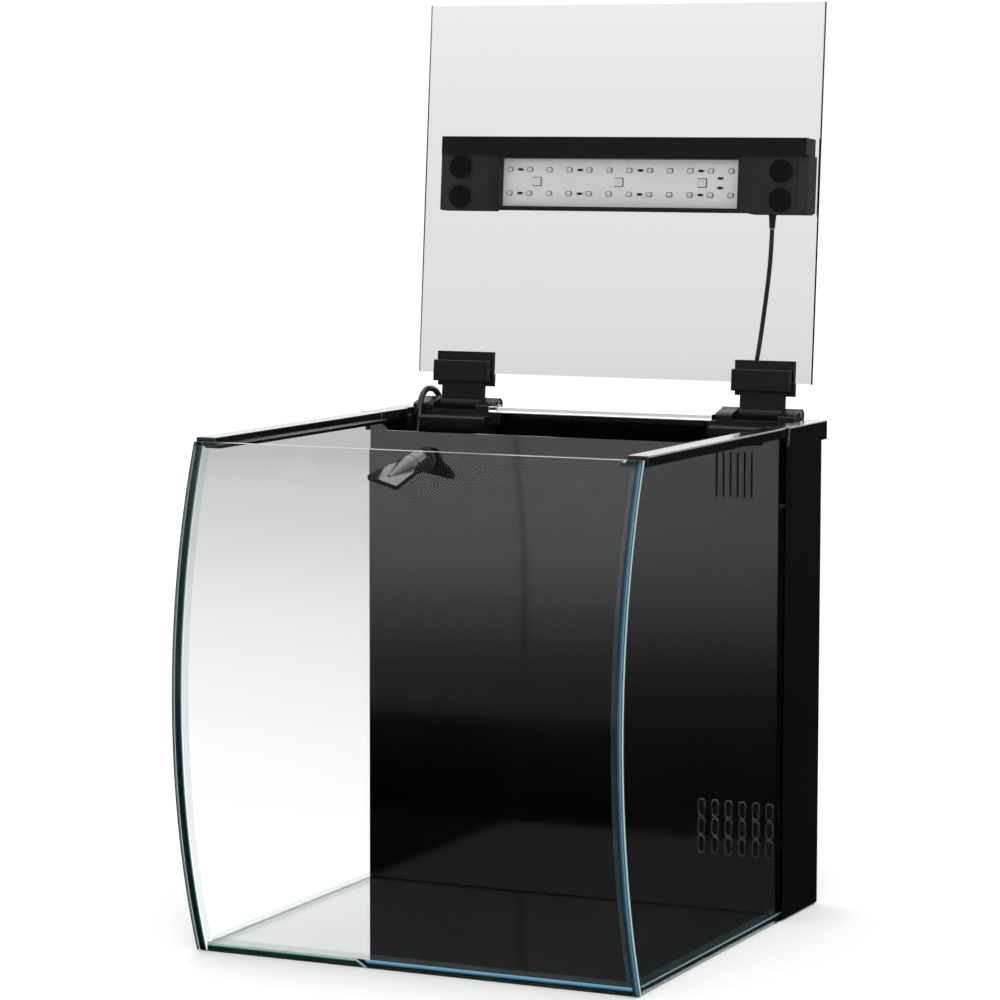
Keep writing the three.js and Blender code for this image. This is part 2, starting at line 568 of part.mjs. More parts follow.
// The nozzle is drawn along +z from the ball's centre, then turned to its resting aim.
function nozzle() {
  const aim = new THREE.Group();
  aim.position.copy(BALL);
  aim.rotation.order = 'ZXY';
  aim.rotation.set(Math.PI / 2 + NOZZLE_TILT, 0, NOZZLE_PAN);
  aquarium.add(aim);

  const collar = turned([
    [5.3, -2.8], [5.7, -3.4], [6.6, -3.4], [7.2, -2.6], [7.6, -0.8], [7.6, 5.8], [7.3, 6.8],
    [4.4, 6.8], [4.4, 4.4], [5, 3.6], [5.9, 1.8], [6.05, 0], [5.9, -1.6], [5.3, -2.8],
  ], 20);
  add('nozzle_collar', collar, gloss, aim);

  const roll = new THREE.Group();
  roll.rotation.z = NOZZLE_ROLL;
  aim.add(roll);
  const cone = turned([[0, 7.1], [7.4, 7.1], [7.6, 9], [7.1, 13], [2.6, 29], [0, 30]], 24);
  const plate = new THREE.ExtrudeGeometry(outline([
    [-7.2, 11], [7.2, 11], [10.6, 17], [13.2, 36.2], [-13.2, 36.2], [-10.6, 17],
  ]), { depth: 3.6, bevelEnabled: false }).rotateX(Math.PI / 2).translate(0, 1.8, 0);
  const slot = new THREE.BoxGeometry(18.5, 1.5, 22).translate(0, 0, 27.5);
  const throat = cylinderZ(3.2, 5, 17, 0, 0, 12);
  add('nozzle_spout', cut(join(cone, plate), slot, throat), gloss, roll);
}

// ---------------------------------------------------------------- filter media
function filterMedia() {
  add('filter_sponge', box(87, 137, 85.5, 123, 38, 268), foam);

  const x0 = -42;
  const x1 = 78;
  const y0 = 84.5;
  const y1 = 130.5;
  const shell = box(x0, x1, y0, y1, 60, 252);
  const room = box(x0 + 2, x1 - 2, y0 + 2, y1 - 2, 62.5, 260);
  const floorSlots = Array.from({ length: 9 }, (_, i) => {
    const x = x0 + 12 + i * 12;
    return box(x - 2, x + 2, y0 + 8, y1 - 8, 55, 65);
  });
  const sideSlots = [90, 130, 170].flatMap((z) => Array.from({ length: 5 }, (_, i) => {
    const x = x0 + 18 + i * 21;
    return box(x - 6, x + 6, y0 - 2, y1 + 2, z, z + 24);
  }));
  const handle = cut(
    box(8, 28, y0 + 26, y0 + 35, 250, 276),
    box(11, 25, y0 + 20, y0 + 40, 245, 272));
  const crossbar = box(x0 + 1, x1 - 1, y0 + 26, y0 + 35, 248, 252);
  add('media_basket', join(cut(shell, room, ...floorSlots, ...sideSlots), handle, crossbar),
    plastic);
  add('bio_media', box(x0 + 4, x1 - 4, y0 + 4, y1 - 4, 63.5, 190), ceramic);
  add('sponge_pad', box(x0 + 4, x1 - 4, y0 + 4, y1 - 4, 191, 215), foam);
}

// ---------------------------------------------------------------- cords
// A round cord along hand-chosen points, from one face to another.
function cordTube(points, diameter, steps) {
  const route = new THREE.CatmullRomCurve3(points.map((p) => new THREE.Vector3(...p)), false,
    'centripetal');
  const round = new THREE.Shape().absarc(0, 0, diameter / 2, 0, 2 * Math.PI, false);
  return new THREE.ExtrudeGeometry(round, { steps, extrudePath: route, curveSegments: 4 });
}

// The outer shape of a coil that lies flat: a ring with a rounded section.
function coilRing({ x, y, inner: near, outer: far, height }, diameter) {
  const r = diameter / 2;
  const ease = r * 0.6;
  const ring = turned([
    [near, r], [near + ease, 0.05], [far - ease, 0.05], [far, r], [far, height - r],
    [far - ease, height], [near + ease, height], [near, height - r], [near, r],
  ], 32);
  return ring.translate(x, y, 0);
}

const LAMP_ROUTE = [
  [107.5, 172.8, 445.4], [107.4, 172.2, 437], [107, 171.3, 425], [105.9, 170.2, 410], [104.2, 168.9, 393],
  [102.2, 167.6, 375], [99.8, 166.4, 358], [96.6, 165.2, 344], [93.3, 164.2, 334.5],
  [90.9, 163.2, 325], [89.6, 162, 309], [89, 161, 284], [89, 160.5, 250], [89, 160.4, 200],
  [89, 160.4, 150], [89, 160.4, 100], [89, 160.6, 62], [88.7, 161.6, 36], [88.1, 164, 16],
  [86.8, 168.8, 5.2], [84.9, 175.6, 1.9], [83.1, 184, 1.6],
];
const PUMP_ROUTE = [
  [-114, 114, 76.7], [-114.3, 114, 88], [-116.6, 114.6, 108], [-121.6, 116.4, 138],
  [-127.6, 118.2, 175], [-132, 119, 215], [-133.8, 119.6, 250], [-134, 121.5, 275],
  [-134, 126.2, 293], [-134, 131, 307], [-134, 133.3, 317], [-134, 133.9, 323],
  [-134, 137, 329.2], [-134, 142.6, 332.8], [-134, 150, 333.6], [-134, 158, 331.6],
  [-134.1, 165, 325.6], [-134.2, 168.8, 316], [-134.3, 169.5, 304],
  [-134.3, 169.4, 280], [-134.4, 168.6, 230], [-134.4, 168, 170], [-134.4, 167.8, 110],
  [-133.8, 168, 66], [-131.4, 169.4, 36], [-127.2, 171.6, 16], [-121.2, 173.4, 5.8],
  [-112.6, 174.6, 2.5], [-102.1, 175, 2.2],
];
const PUMP_COIL = { x: -86, y: 205, inner: 14.8, outer: 31.9, height: 8.6 };
const LAMP_COIL = { x: 58, y: 196, inner: 10.6, outer: 26, height: 6.2 };

// A flat two-pin plug lying on its side face, its cord leaving towards -x.
function pumpPlug() {
  const y = PUMP_COIL.y - 25.5;
  const z = 6.9;
  const x = { tail: -63.4, body: -45, face: -9 };
  const tail = turned([[0, 0], [2.6, 0], [4.6, 19], [0, 19]], 12)
    .rotateY(Math.PI / 2).translate(x.tail, y, z);
  const body = prismZ([
    [x.body, y - 6], [x.body + 8, y - 14], [x.face - 6, y - 17.6], [x.face, y - 17.6],
    [x.face, y + 17.6], [x.face - 6, y + 17.6], [x.body + 8, y + 14], [x.body, y + 6],
  ], 0, 2 * z);
  const pins = [-9.4, 9.4].map((dy) => cylinderX(2, x.face - 1, x.face + 19, y + dy, z, 12));
  return join(tail, body, ...pins);
}

// A small mains adapter lying on its side, its cord leaving towards +x.
function lampAdapter() {
  const y = LAMP_COIL.y + 21.4;
  const z = 5;
  const x = { tail: 40.3, body: 24, face: -26 };
  const tail = turned([[0, 0], [1.9, 0], [3.4, 17.5], [0, 17.5]], 12)
    .rotateY(-Math.PI / 2).translate(x.tail, y, z);
  const body = box(x.face, x.body, y - 18, y + 16, 0, 25);
  const pins = [-10.4, 8.4].map((dy) => cylinderX(2, x.face - 19, x.face + 1, y + dy, 12.5, 12));
  return join(tail, body, ...pins);
}

function cords() {
  add('lamp_cord', cordTube(LAMP_ROUTE, LAMP_CORD, 78), rubber);
  add('lamp_cord_coil', coilRing(LAMP_COIL, LAMP_CORD), rubber);
  add('lamp_adapter', lampAdapter(), plastic);
  add('pump_cord', cordTube(PUMP_ROUTE, PUMP_CORD, 80), rubber);
  add('pump_cord_coil', coilRing(PUMP_COIL, PUMP_CORD), rubber);
  add('pump_plug', pumpPlug(), plastic);
}

glassBox();
siliconeSeams();
partition();
dividers();
rearShroud();
sideRims();
add('corner_cap_right', cornerCap(1), plastic);
add('corner_cap_left', cornerCap(-1), plastic);
hinges();
lidHinge('left', -HINGE_X);
lidHinge('right', HINGE_X);
lidGlassSheet();
lamp();
pump();
returnLine();
nozzle();
filterMedia();
cords();

export default aquarium;
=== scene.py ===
# Looks of a bow-front glass aquarium with a hinged lid, an LED lamp and a rear filter chamber.
# Blender 4.5. Metres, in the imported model's frame: +X right, +Y back, +Z up.
import json
import math
import random

import bpy
import bmesh
from mathutils import Matrix, Vector
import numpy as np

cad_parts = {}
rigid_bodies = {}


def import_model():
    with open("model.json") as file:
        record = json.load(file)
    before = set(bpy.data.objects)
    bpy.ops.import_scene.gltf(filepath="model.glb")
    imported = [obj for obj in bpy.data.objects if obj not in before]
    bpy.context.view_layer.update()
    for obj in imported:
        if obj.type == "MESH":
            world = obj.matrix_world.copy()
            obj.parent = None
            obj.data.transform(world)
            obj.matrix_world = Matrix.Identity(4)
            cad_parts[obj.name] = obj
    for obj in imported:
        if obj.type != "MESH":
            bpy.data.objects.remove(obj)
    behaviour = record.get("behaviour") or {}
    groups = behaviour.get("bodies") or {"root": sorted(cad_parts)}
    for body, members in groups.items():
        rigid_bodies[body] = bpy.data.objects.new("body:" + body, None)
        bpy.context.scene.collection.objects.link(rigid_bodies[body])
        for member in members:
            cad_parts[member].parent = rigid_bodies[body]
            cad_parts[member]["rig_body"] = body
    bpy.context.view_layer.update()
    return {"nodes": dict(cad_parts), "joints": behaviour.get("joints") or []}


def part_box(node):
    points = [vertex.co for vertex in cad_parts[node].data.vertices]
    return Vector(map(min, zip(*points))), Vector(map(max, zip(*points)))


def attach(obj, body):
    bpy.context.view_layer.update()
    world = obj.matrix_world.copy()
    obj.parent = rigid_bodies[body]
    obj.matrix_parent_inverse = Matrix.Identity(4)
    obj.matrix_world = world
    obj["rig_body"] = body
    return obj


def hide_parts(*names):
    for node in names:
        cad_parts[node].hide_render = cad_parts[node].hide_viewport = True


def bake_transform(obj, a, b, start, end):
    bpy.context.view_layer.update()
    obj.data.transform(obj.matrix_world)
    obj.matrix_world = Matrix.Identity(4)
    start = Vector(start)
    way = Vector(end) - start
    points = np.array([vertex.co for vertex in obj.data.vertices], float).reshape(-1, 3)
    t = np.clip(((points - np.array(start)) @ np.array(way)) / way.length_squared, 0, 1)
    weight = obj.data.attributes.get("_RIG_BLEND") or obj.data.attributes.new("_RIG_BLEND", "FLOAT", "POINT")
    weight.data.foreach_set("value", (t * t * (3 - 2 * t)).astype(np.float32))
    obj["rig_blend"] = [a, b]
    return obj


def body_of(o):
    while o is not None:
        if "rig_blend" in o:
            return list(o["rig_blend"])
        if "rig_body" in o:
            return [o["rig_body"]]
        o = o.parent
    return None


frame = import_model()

scene = bpy.context.scene
MM = 0.001

# ------------------------------------------------------------------ camera
CAMERA_YAW = math.radians(24.97)
CAMERA_PITCH = math.radians(5.79)
CAMERA_ROLL = math.radians(0.115)
CAMERA_PLACE = (0.9963, -2.1636, 0.5174)
LENS = 135.07                # focal length in mm, for a sensor 36 mm wide
SENSOR = 36.0


def make_camera():
    data = bpy.data.cameras.new("camera")
    data.lens = LENS
    data.sensor_width = SENSOR
    data.clip_end = 50.0
    camera = bpy.data.objects.new("camera", data)
    scene.collection.objects.link(camera)
    place = Matrix.Translation(CAMERA_PLACE)
    yaw = Matrix.Rotation(CAMERA_YAW, 4, "Z")
    pitch = Matrix.Rotation(math.pi / 2 - CAMERA_PITCH, 4, "X")
    camera.matrix_world = place @ yaw @ pitch @ Matrix.Rotation(CAMERA_ROLL, 4, "Z")
    scene.camera = camera


make_camera()

# ------------------------------------------------------------------ sizes
GLASS = 0.005                # thickness of the panes
GAP = 0.0003                 # room between neighbouring solids
BOW = 0.0295                 # how far the front pane bulges out in the middle
front_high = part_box("front_pane")[1]
HALF = front_high.x
HEIGHT = front_high.z
FRONT = -0.150
BACK = 0.150
BOW_RADIUS = ((HEIGHT / 2) ** 2 + BOW ** 2) / (2 * BOW)
BOW_Y = FRONT - BOW + BOW_RADIUS
BOW_Z = HEIGHT / 2

lid_joint = next(j for j in frame["joints"] if j["name"] == "lid_hinge")
PIN = Vector(lid_joint["pos_m"])
OPEN_ANGLE = math.radians(max(abs(angle) for angle in lid_joint["range_deg"]))
OPEN = (Matrix.Translation(PIN) @ Matrix.Rotation(-OPEN_ANGLE, 4, "X")
        @ Matrix.Translation(-PIN))          # from the closed lid to the lid at rest
LID_REAR = 0.1302            # rear edge and upper face of the closed lid
LID_TOP = 0.3258

LAMP_HALF = 0.1338           # the lamp, as it lies on the closed lid
LAMP_FRONT = LID_REAR - 0.1505
LAMP_REAR = LID_REAR - 0.1140
LAMP_LOW = LID_TOP + 0.0032
BOARD_FACE = 0.3373

PARTITION_FACE = 0.0797      # y of the intake slots' lips


# ------------------------------------------------------------------ shader helpers
def shader(name):
    material = bpy.data.materials.new(name)
    material.use_nodes = True
    nodes = material.node_tree.nodes
    principled = nodes["Principled BSDF"]
    return material, material.node_tree, principled


def coordinates(tree, scale=1.0):
    source = tree.nodes.new("ShaderNodeTexCoord")
    mapping = tree.nodes.new("ShaderNodeMapping")
    mapping.inputs["Scale"].default_value = (scale, scale, scale)
    tree.links.new(source.outputs["Object"], mapping.inputs["Vector"])
    return mapping.outputs["Vector"]


def noise(tree, vector, scale, detail=3.0, roughness=0.5):
    node = tree.nodes.new("ShaderNodeTexNoise")
    node.inputs["Scale"].default_value = scale
    node.inputs["Detail"].default_value = detail
    node.inputs["Roughness"].default_value = roughness
    tree.links.new(vector, node.inputs["Vector"])
    return node.outputs["Fac"]


def ramp(tree, value, stops):
    node = tree.nodes.new("ShaderNodeValToRGB")
    elements = node.color_ramp.elements
    while len(elements) < len(stops):
        elements.new(0.5)
    for element, (position, colour) in zip(elements, stops):
        element.position = position
        if not isinstance(colour, (tuple, list)):
            colour = (colour, colour, colour)
        element.color = (*colour, 1.0)
    tree.links.new(value, node.inputs["Fac"])
    return node.outputs["Color"]


def srgb(red, green, blue):
    """Linear colour for an sRGB colour of 0 to 255."""
    def linear(value):
        value /= 255.0
        return value / 12.92 if value <= 0.04045 else ((value + 0.055) / 1.055) ** 2.4
    return (linear(red), linear(green), linear(blue))


def spread(tree, value, low, high):
    node = tree.nodes.new("ShaderNodeMapRange")
    node.inputs["To Min"].default_value = low
    node.inputs["To Max"].default_value = high
    tree.links.new(value, node.inputs["Value"])
    return node.outputs["Result"]


def bump(tree, principled, height, strength, distance):
    node = tree.nodes.new("ShaderNodeBump")
    node.inputs["Strength"].default_value = strength
    node.inputs["Distance"].default_value = distance
    tree.links.new(height, node.inputs["Height"])
    tree.links.new(node.outputs["Normal"], principled.inputs["Normal"])


# ------------------------------------------------------------------ materials
def moulded(name, colour, roughness, grain=0.25, scale=900.0, specular=0.5, drift_by=0.2):
    """Moulded plastic or rubber: fine grain, slight colour drift and uneven gloss."""
    material, tree, principled = shader(name)
    vector = coordinates(tree)
    drift = noise(tree, vector, 14.0, 4.0)
    dark = tuple((1.0 - drift_by) * c for c in colour)
    light = tuple(min(0.97, (1.0 + drift_by) * c) for c in colour)
    tree.links.new(ramp(tree, drift, [(0.3, dark), (0.7, light)]), principled.inputs["Base Color"])
    wear = noise(tree, vector, 60.0, 5.0, 0.6)
    tree.links.new(spread(tree, wear, roughness * 0.85, roughness * 1.2),
                   principled.inputs["Roughness"])
    principled.inputs["Specular IOR Level"].default_value = specular
    bump(tree, principled, noise(tree, vector, scale, 2.0), grain, 0.00004)
    return material


def clear_glass(name, absorb, density, tint=(1.0, 1.0, 1.0), mirror=1.0):
    """Solid clear glass: very faint waviness, and a colour that deepens with the path inside.
    The mirror factor scales its reflections, so a coated pane can look calmer than plain glass."""
    material, tree, principled = shader(name)
    principled.inputs["Base Color"].default_value = (*tint, 1.0)
    principled.inputs["Specular Tint"].default_value = (mirror, mirror, mirror, 1.0)
    principled.inputs["Roughness"].default_value = 0.0
    principled.inputs["IOR"].default_value = 1.5
    principled.inputs["Transmission Weight"].default_value = 1.0
    inside = tree.nodes.new("ShaderNodeVolumeAbsorption")
    inside.inputs["Color"].default_value = (*absorb, 1.0)
    inside.inputs["Density"].default_value = density
    output = tree.nodes["Material Output"]
    tree.links.new(inside.outputs["Volume"], output.inputs["Volume"])
    vector = coordinates(tree)
    bump(tree, principled, noise(tree, vector, 5.0, 1.0), 0.02, 0.0004)
    return material


def clear_silicone(name, colour, alpha):
    """Thin clear silicone, seen as a faint film over what is behind it."""
    material, tree, principled = shader(name)
    vector = coordinates(tree)
    smear = noise(tree, vector, 90.0, 3.0)
    dim = tuple(0.7 * c for c in colour)
    tree.links.new(ramp(tree, smear, [(0.3, dim), (0.7, colour)]), principled.inputs["Base Color"])
    tree.links.new(spread(tree, smear, 0.2, 0.4), principled.inputs["Roughness"])
    principled.inputs["Alpha"].default_value = alpha
    principled.inputs["Specular IOR Level"].default_value = 0.2
    bump(tree, principled, smear, 0.2, 0.0001)
    return material


def across_axis(tree, axis):
    """The X, Y or Z coordinate of a point, in metres."""
    source = tree.nodes.new("ShaderNodeTexCoord")
    split = tree.nodes.new("ShaderNodeSeparateXYZ")
    tree.links.new(source.outputs["Object"], split.inputs["Vector"])
    return split.outputs[axis]


def across_x(tree):
    return across_axis(tree, "X")


def across_z(tree):
    return across_axis(tree, "Z")


# Painted reflection: the bands on the front foot edge are painted green to the left of FOOT_TURN and blue to
# the right of it.
FOOT_TURN = -0.036           # x where the front foot edge turns from green to blue
FOOT_BLEND = 0.004


def across_foot(tree):
    """Height on the front foot edge, less one pane's thickness where its painted bands are green
    and not blue, which is to the left of FOOT_TURN."""
    green = tree.nodes.new("ShaderNodeMapRange")
    green.inputs["From Min"].default_value = FOOT_TURN - FOOT_BLEND
    green.inputs["From Max"].default_value = FOOT_TURN + FOOT_BLEND
    green.inputs["To Min"].default_value = -GLASS
    green.inputs["To Max"].default_value = 0.0
    tree.links.new(across_x(tree), green.inputs["Value"])
    total = tree.nodes.new("ShaderNodeMath")
    tree.links.new(across_z(tree), total.inputs[0])
    tree.links.new(green.outputs["Result"], total.inputs[1])
    return total.outputs["Value"]


def across_bow(tree):
    """The distance of a point from the axis of the bow, in metres."""
    source = tree.nodes.new("ShaderNodeTexCoord")
    shift = tree.nodes.new("ShaderNodeVectorMath")
    shift.operation = "SUBTRACT"
    shift.inputs[1].default_value = (0.0, BOW_Y, BOW_Z)
    flat = tree.nodes.new("ShaderNodeVectorMath")
    flat.operation = "MULTIPLY"
    flat.inputs[1].default_value = (0.0, 1.0, 1.0)
    length = tree.nodes.new("ShaderNodeVectorMath")
    length.operation = "LENGTH"
    tree.links.new(source.outputs["Object"], shift.inputs[0])
    tree.links.new(shift.outputs["Vector"], flat.inputs[0])
    tree.links.new(flat.outputs["Vector"], length.inputs[0])
    return length.outputs["Value"]


def painted_light_bands(name, across, start, end, stops, rough=(0.16, 0.28)):
    """A surface painted with bands of light and shade set across it, from start to end in metres.
    On a pane's cut edge the green is the glass's own colour. The bright, blue and dark bands are
    painted highlights, painted reflections and painted shade, standing in for light trapped in the pane."""
    material, tree, principled = shader(name)
    share = tree.nodes.new("ShaderNodeMapRange")
    share.inputs["From Min"].default_value = start
    share.inputs["From Max"].default_value = end
    tree.links.new(across(tree), share.inputs["Value"])
    colour = ramp(tree, share.outputs["Result"], [(at, srgb(*rgb)) for at, rgb in stops])
    tree.links.new(colour, principled.inputs["Base Color"])
    vector = coordinates(tree)
    tree.links.new(spread(tree, noise(tree, vector, 60.0), *rough),
                   principled.inputs["Roughness"])
    principled.inputs["Specular IOR Level"].default_value = 0.25
    bump(tree, principled, noise(tree, vector, 240.0), 0.05, 0.00003)
    return material


def metal(name, colour, roughness):
    material, tree, principled = shader(name)
    principled.inputs["Metallic"].default_value = 1.0
    vector = coordinates(tree)
    streak = noise(tree, vector, 300.0, 3.0)
    shade = [(0.3, tuple(0.75 * c for c in colour)), (0.7, colour)]
    tree.links.new(ramp(tree, streak, shade), principled.inputs["Base Color"])
    tree.links.new(spread(tree, streak, roughness * 0.7, roughness * 1.3),
                   principled.inputs["Roughness"])
    bump(tree, principled, streak, 0.1, 0.00003)
    return material


def open_foam(name, colour):
    material, tree, principled = shader(name)
    vector = coordinates(tree)
    cells = tree.nodes.new("ShaderNodeTexVoronoi")
    cells.inputs["Scale"].default_value = 520.0
    tree.links.new(vector, cells.inputs["Vector"])
    pores = cells.outputs["Distance"]
    # Painted shade: the pores are painted darker than the strands, for the shade in the foam's holes.
    dark = tuple(0.25 * c for c in colour)
    tree.links.new(ramp(tree, pores, [(0.1, dark), (0.6, colour)]), principled.inputs["Base Color"])
    principled.inputs["Roughness"].default_value = 0.95
    bump(tree, principled, pores, 0.9, 0.0006)
    return material


TANK_GLASS = clear_glass("tank_glass", (0.45, 0.72, 0.66), 6.0, mirror=0.07)
BOTTOM_GLASS = clear_glass("bottom_glass", (0.45, 0.72, 0.66), 6.0)
LID_GLASS = clear_glass("lid_glass", (0.5, 0.6, 0.58), 9.0, (0.965, 0.968, 0.967), 0.3)
SILICONE = clear_silicone("silicone", srgb(120, 150, 158), 0.10)
ACRYLIC = moulded("black_acrylic", (0.0009, 0.0009, 0.0009), 0.07, 0.02, specular=0.95)
# Painted sheen: the slot lips are a lighter grey than the black partition they stand on, standing in for
# light on their rounded rims.
LIP_GREY_SHEEN = moulded("slot_lip_painted_sheen", (0.026, 0.026, 0.027), 0.16, 0.05, specular=0.95)
CHAMBER = moulded("chamber_acrylic", (0.0012, 0.0012, 0.0012), 0.12, 0.03, specular=0.3)
BLACK = moulded("black_plastic", (0.0042, 0.0042, 0.0044), 0.34, 0.14, specular=0.22)
RIM_BLACK = moulded("rim_plastic", (0.0028, 0.0028, 0.0029), 0.15, 0.06, specular=0.45)
SHROUD_BLACK = moulded("shroud_plastic", (0.0018, 0.0018, 0.0020), 0.28, 0.08, specular=0.06)
LAMP_BLACK = moulded("lamp_black", (0.0058, 0.0058, 0.0060), 0.38, 0.3, specular=0.14)
RUBBER = moulded("black_rubber", (0.0048, 0.0048, 0.0050), 0.30, 0.2, specular=0.3)
CUP_RUBBER = moulded("cup_rubber", (0.0007, 0.0007, 0.0007), 0.22, 0.05, specular=0.12)
# Painted shade: a near-black colour for the strips that stand in for the shade in the lamp's grooves.
GROOVE_SHADE_BLACK = moulded("seam_shadow", (0.0006, 0.0006, 0.0006), 0.6, 0.05, specular=0.05)
CORD = moulded("cord_rubber", (0.0065, 0.0065, 0.0068), 0.30, 0.15, specular=0.4)
PUMP = moulded("pump_plastic", (0.008, 0.008, 0.0088), 0.45, 0.4, specular=0.3)
ROTOR = moulded("rotor", (0.07, 0.07, 0.08), 0.4, 0.3)
HOSE = moulded("hose", (0.012, 0.012, 0.013), 0.3, 0.2)
NOZZLE = moulded("nozzle_gloss", (0.016, 0.016, 0.0165), 0.10, 0.03, specular=0.95)
STEEL = metal("steel", (0.55, 0.56, 0.58), 0.25)
FOAM = open_foam("foam", (0.050, 0.052, 0.058))
CERAMIC = moulded("ceramic_media", (0.62, 0.58, 0.50), 0.85, 0.9, scale=500.0)
BOARD = moulded("led_board", (0.945, 0.95, 0.945), 0.38, 0.1, drift_by=0.03, specular=0.3)
LED_BODY = moulded("led_body", (0.93, 0.93, 0.90), 0.3, 0.1, drift_by=0.03)
LED_LENS = moulded("led_lens", (0.90, 0.90, 0.80), 0.12, 0.05)
# Painted shade: the dark grey frame round each LED stands in for the shadow round its package.
LED_SHADE_RIM = moulded("led_shade_rim", (0.10, 0.10, 0.105), 0.35, 0.1, specular=0.3)
CHIP = moulded("resistor_black", (0.006, 0.006, 0.006), 0.3, 0.1, specular=0.3)
SOLDER = metal("solder", (0.60, 0.60, 0.62), 0.3)

# Glass edges: the green is the glass's own colour seen edge-on. The bright, blue and dark bands are painted
# highlights, painted reflections and painted shade.
END_EDGE = painted_light_bands("end_edge", across_bow, BOW_RADIUS, BOW_RADIUS - GLASS, [
    (0.0, (0, 11, 23)), (0.14, (8, 28, 38)), (0.24, (80, 104, 112)), (0.45, (110, 142, 150)),
    (0.62, (180, 208, 214)), (0.76, (150, 172, 176)), (0.88, (56, 76, 66)), (1.0, (40, 54, 48))])
LEFT_EDGE = painted_light_bands("left_edge", across_x, -HALF, -HALF + GLASS, [
    (0.0, (64, 82, 82)), (0.14, (40, 57, 57)), (0.35, (15, 36, 38)), (0.6, (8, 42, 45)),
    (0.74, (3, 46, 48)), (0.86, (66, 116, 115)), (1.0, (136, 180, 181))])
RIGHT_EDGE = painted_light_bands("right_edge", across_x, HALF - GLASS, HALF, [
    (0.0, (38, 56, 64)), (0.16, (20, 44, 60)), (0.34, (42, 84, 112)), (0.55, (88, 128, 152)),
    (0.74, (186, 220, 232)), (0.86, (120, 150, 158)), (0.94, (10, 34, 42)), (1.0, (0, 14, 24))])
FOOT_EDGE = painted_light_bands("foot_edge", across_foot, -GLASS, GLASS, [
    (0.0, (24, 52, 48)), (0.06, (4, 26, 22)), (0.18, (3, 40, 34)), (0.30, (10, 62, 52)),
    (0.34, (96, 142, 132)), (0.39, (176, 214, 202)), (0.46, (204, 232, 222)),
    (0.495, (140, 180, 170)), (0.505, (34, 40, 42)), (0.56, (6, 14, 16)),
    (0.68, (3, 24, 32)), (0.75, (6, 48, 66)), (0.8, (60, 114, 142)), (0.86, (120, 178, 210)),
    (0.93, (132, 188, 218)), (0.975, (176, 220, 246)), (1.0, (120, 160, 180))])
SIDE_FOOT_EDGE = painted_light_bands("side_foot_edge", across_z, 0.0, GLASS, [
    (0.0, (44, 62, 64)), (0.15, (12, 36, 38)), (0.58, (2, 30, 37)), (0.7, (70, 98, 108)),
    (0.82, (213, 239, 252)), (0.92, (130, 150, 168)), (1.0, (112, 129, 147))])
# Painted light and shade: the lamp's black underside is painted lighter towards both ends and darkest in the
# middle.
LAMP_UNDERSIDE_SHADE = painted_light_bands("lamp_underside_painted_shade", across_x, -LAMP_HALF, LAMP_HALF, [
    (0.0, (48, 48, 49)), (0.10, (44, 44, 45)), (0.150, (33, 33, 34)), (0.162, (17, 17, 17)),
    (0.815, (17, 17, 17)), (0.83, (36, 36, 37)), (0.92, (44, 44, 45)), (1.0, (46, 46, 47))],
    rough=(0.36, 0.46))
# Painted light: the top faces of the panes are painted a lighter green at both ends than in the middle.
TOP_EDGE = painted_light_bands("top_edge", across_x, -HALF, HALF, [
    (0.0, (70, 96, 92)), (0.5, (40, 66, 60)), (1.0, (70, 96, 92))])


# ------------------------------------------------------------------ mesh helpers
def new_object(name, mesh, material):
    piece = bpy.data.objects.new(name, mesh)
    scene.collection.objects.link(piece)
    mesh.materials.append(material)
    return piece


def from_bmesh(name, bm, material, smooth=None):
    bmesh.ops.remove_doubles(bm, verts=bm.verts, dist=1e-7)
    bmesh.ops.recalc_face_normals(bm, faces=bm.faces)
    mesh = bpy.data.meshes.new(name)
    bm.to_mesh(mesh)
    bm.free()
    if smooth is not None:
        soften(mesh, smooth)
    return new_object(name, mesh, material)


def soften(mesh, angle):
    """Smooth shading, with edges sharper than the angle in degrees kept crisp."""
    mesh.polygons.foreach_set("use_smooth", [True] * len(mesh.polygons))
    mesh.set_sharp_from_angle(angle=math.radians(angle))


def round_edges(piece, width, segments=2, angle=40.0):
    bevel = piece.modifiers.new("rounded", "BEVEL")
    bevel.width = width
    bevel.segments = segments
    bevel.limit_method = "ANGLE"
    bevel.angle_limit = math.radians(angle)
    bevel.harden_normals = False
    bevel.miter_outer = "MITER_ARC"
    normal = piece.modifiers.new("even_shading", "WEIGHTED_NORMAL")
    normal.keep_sharp = True


def tidy_copy(node, name, material, width=0.0004, segments=2, angle=40.0):
    """A cleaned copy of a CAD node with rounded edges, which stands for the node."""
    source = frame["nodes"][node]
    bm = bmesh.new()
    bm.from_mesh(source.data)
    bmesh.ops.remove_doubles(bm, verts=bm.verts, dist=2e-6)
    bmesh.ops.dissolve_limit(bm, angle_limit=math.radians(1.0), verts=bm.verts, edges=bm.edges)
    piece = from_bmesh(name, bm, material, smooth=angle)
    if width:
        round_edges(piece, width, segments, angle)
    body = body_of(source)[0]
    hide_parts(node)
    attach(piece, body)
    return piece


def extrude_section(name, section, x0, x1, material, smooth=20.0):
    """A solid whose section in (y, z) runs along x."""
    bm = bmesh.new()
    near = [bm.verts.new((x0, y, z)) for y, z in section]
    far = [bm.verts.new((x1, y, z)) for y, z in section]
    bm.faces.new(near)
    bm.faces.new(far[::-1])
    count = len(section)
    for i in range(count):
        j = (i + 1) % count
        bm.faces.new((near[i], far[i], far[j], near[j]))
    return from_bmesh(name, bm, material, smooth)


def bow_arc(radius, z0, z1, steps=96):
    """Points (y, z) on an arc round the bow's centre, from one height to another."""
    a0 = math.asin((z0 - BOW_Z) / radius)
    a1 = math.asin((z1 - BOW_Z) / radius)
    angles = [a0 + (a1 - a0) * i / steps for i in range(steps + 1)]
    return [(BOW_Y - radius * math.cos(a), BOW_Z + radius * math.sin(a)) for a in angles]


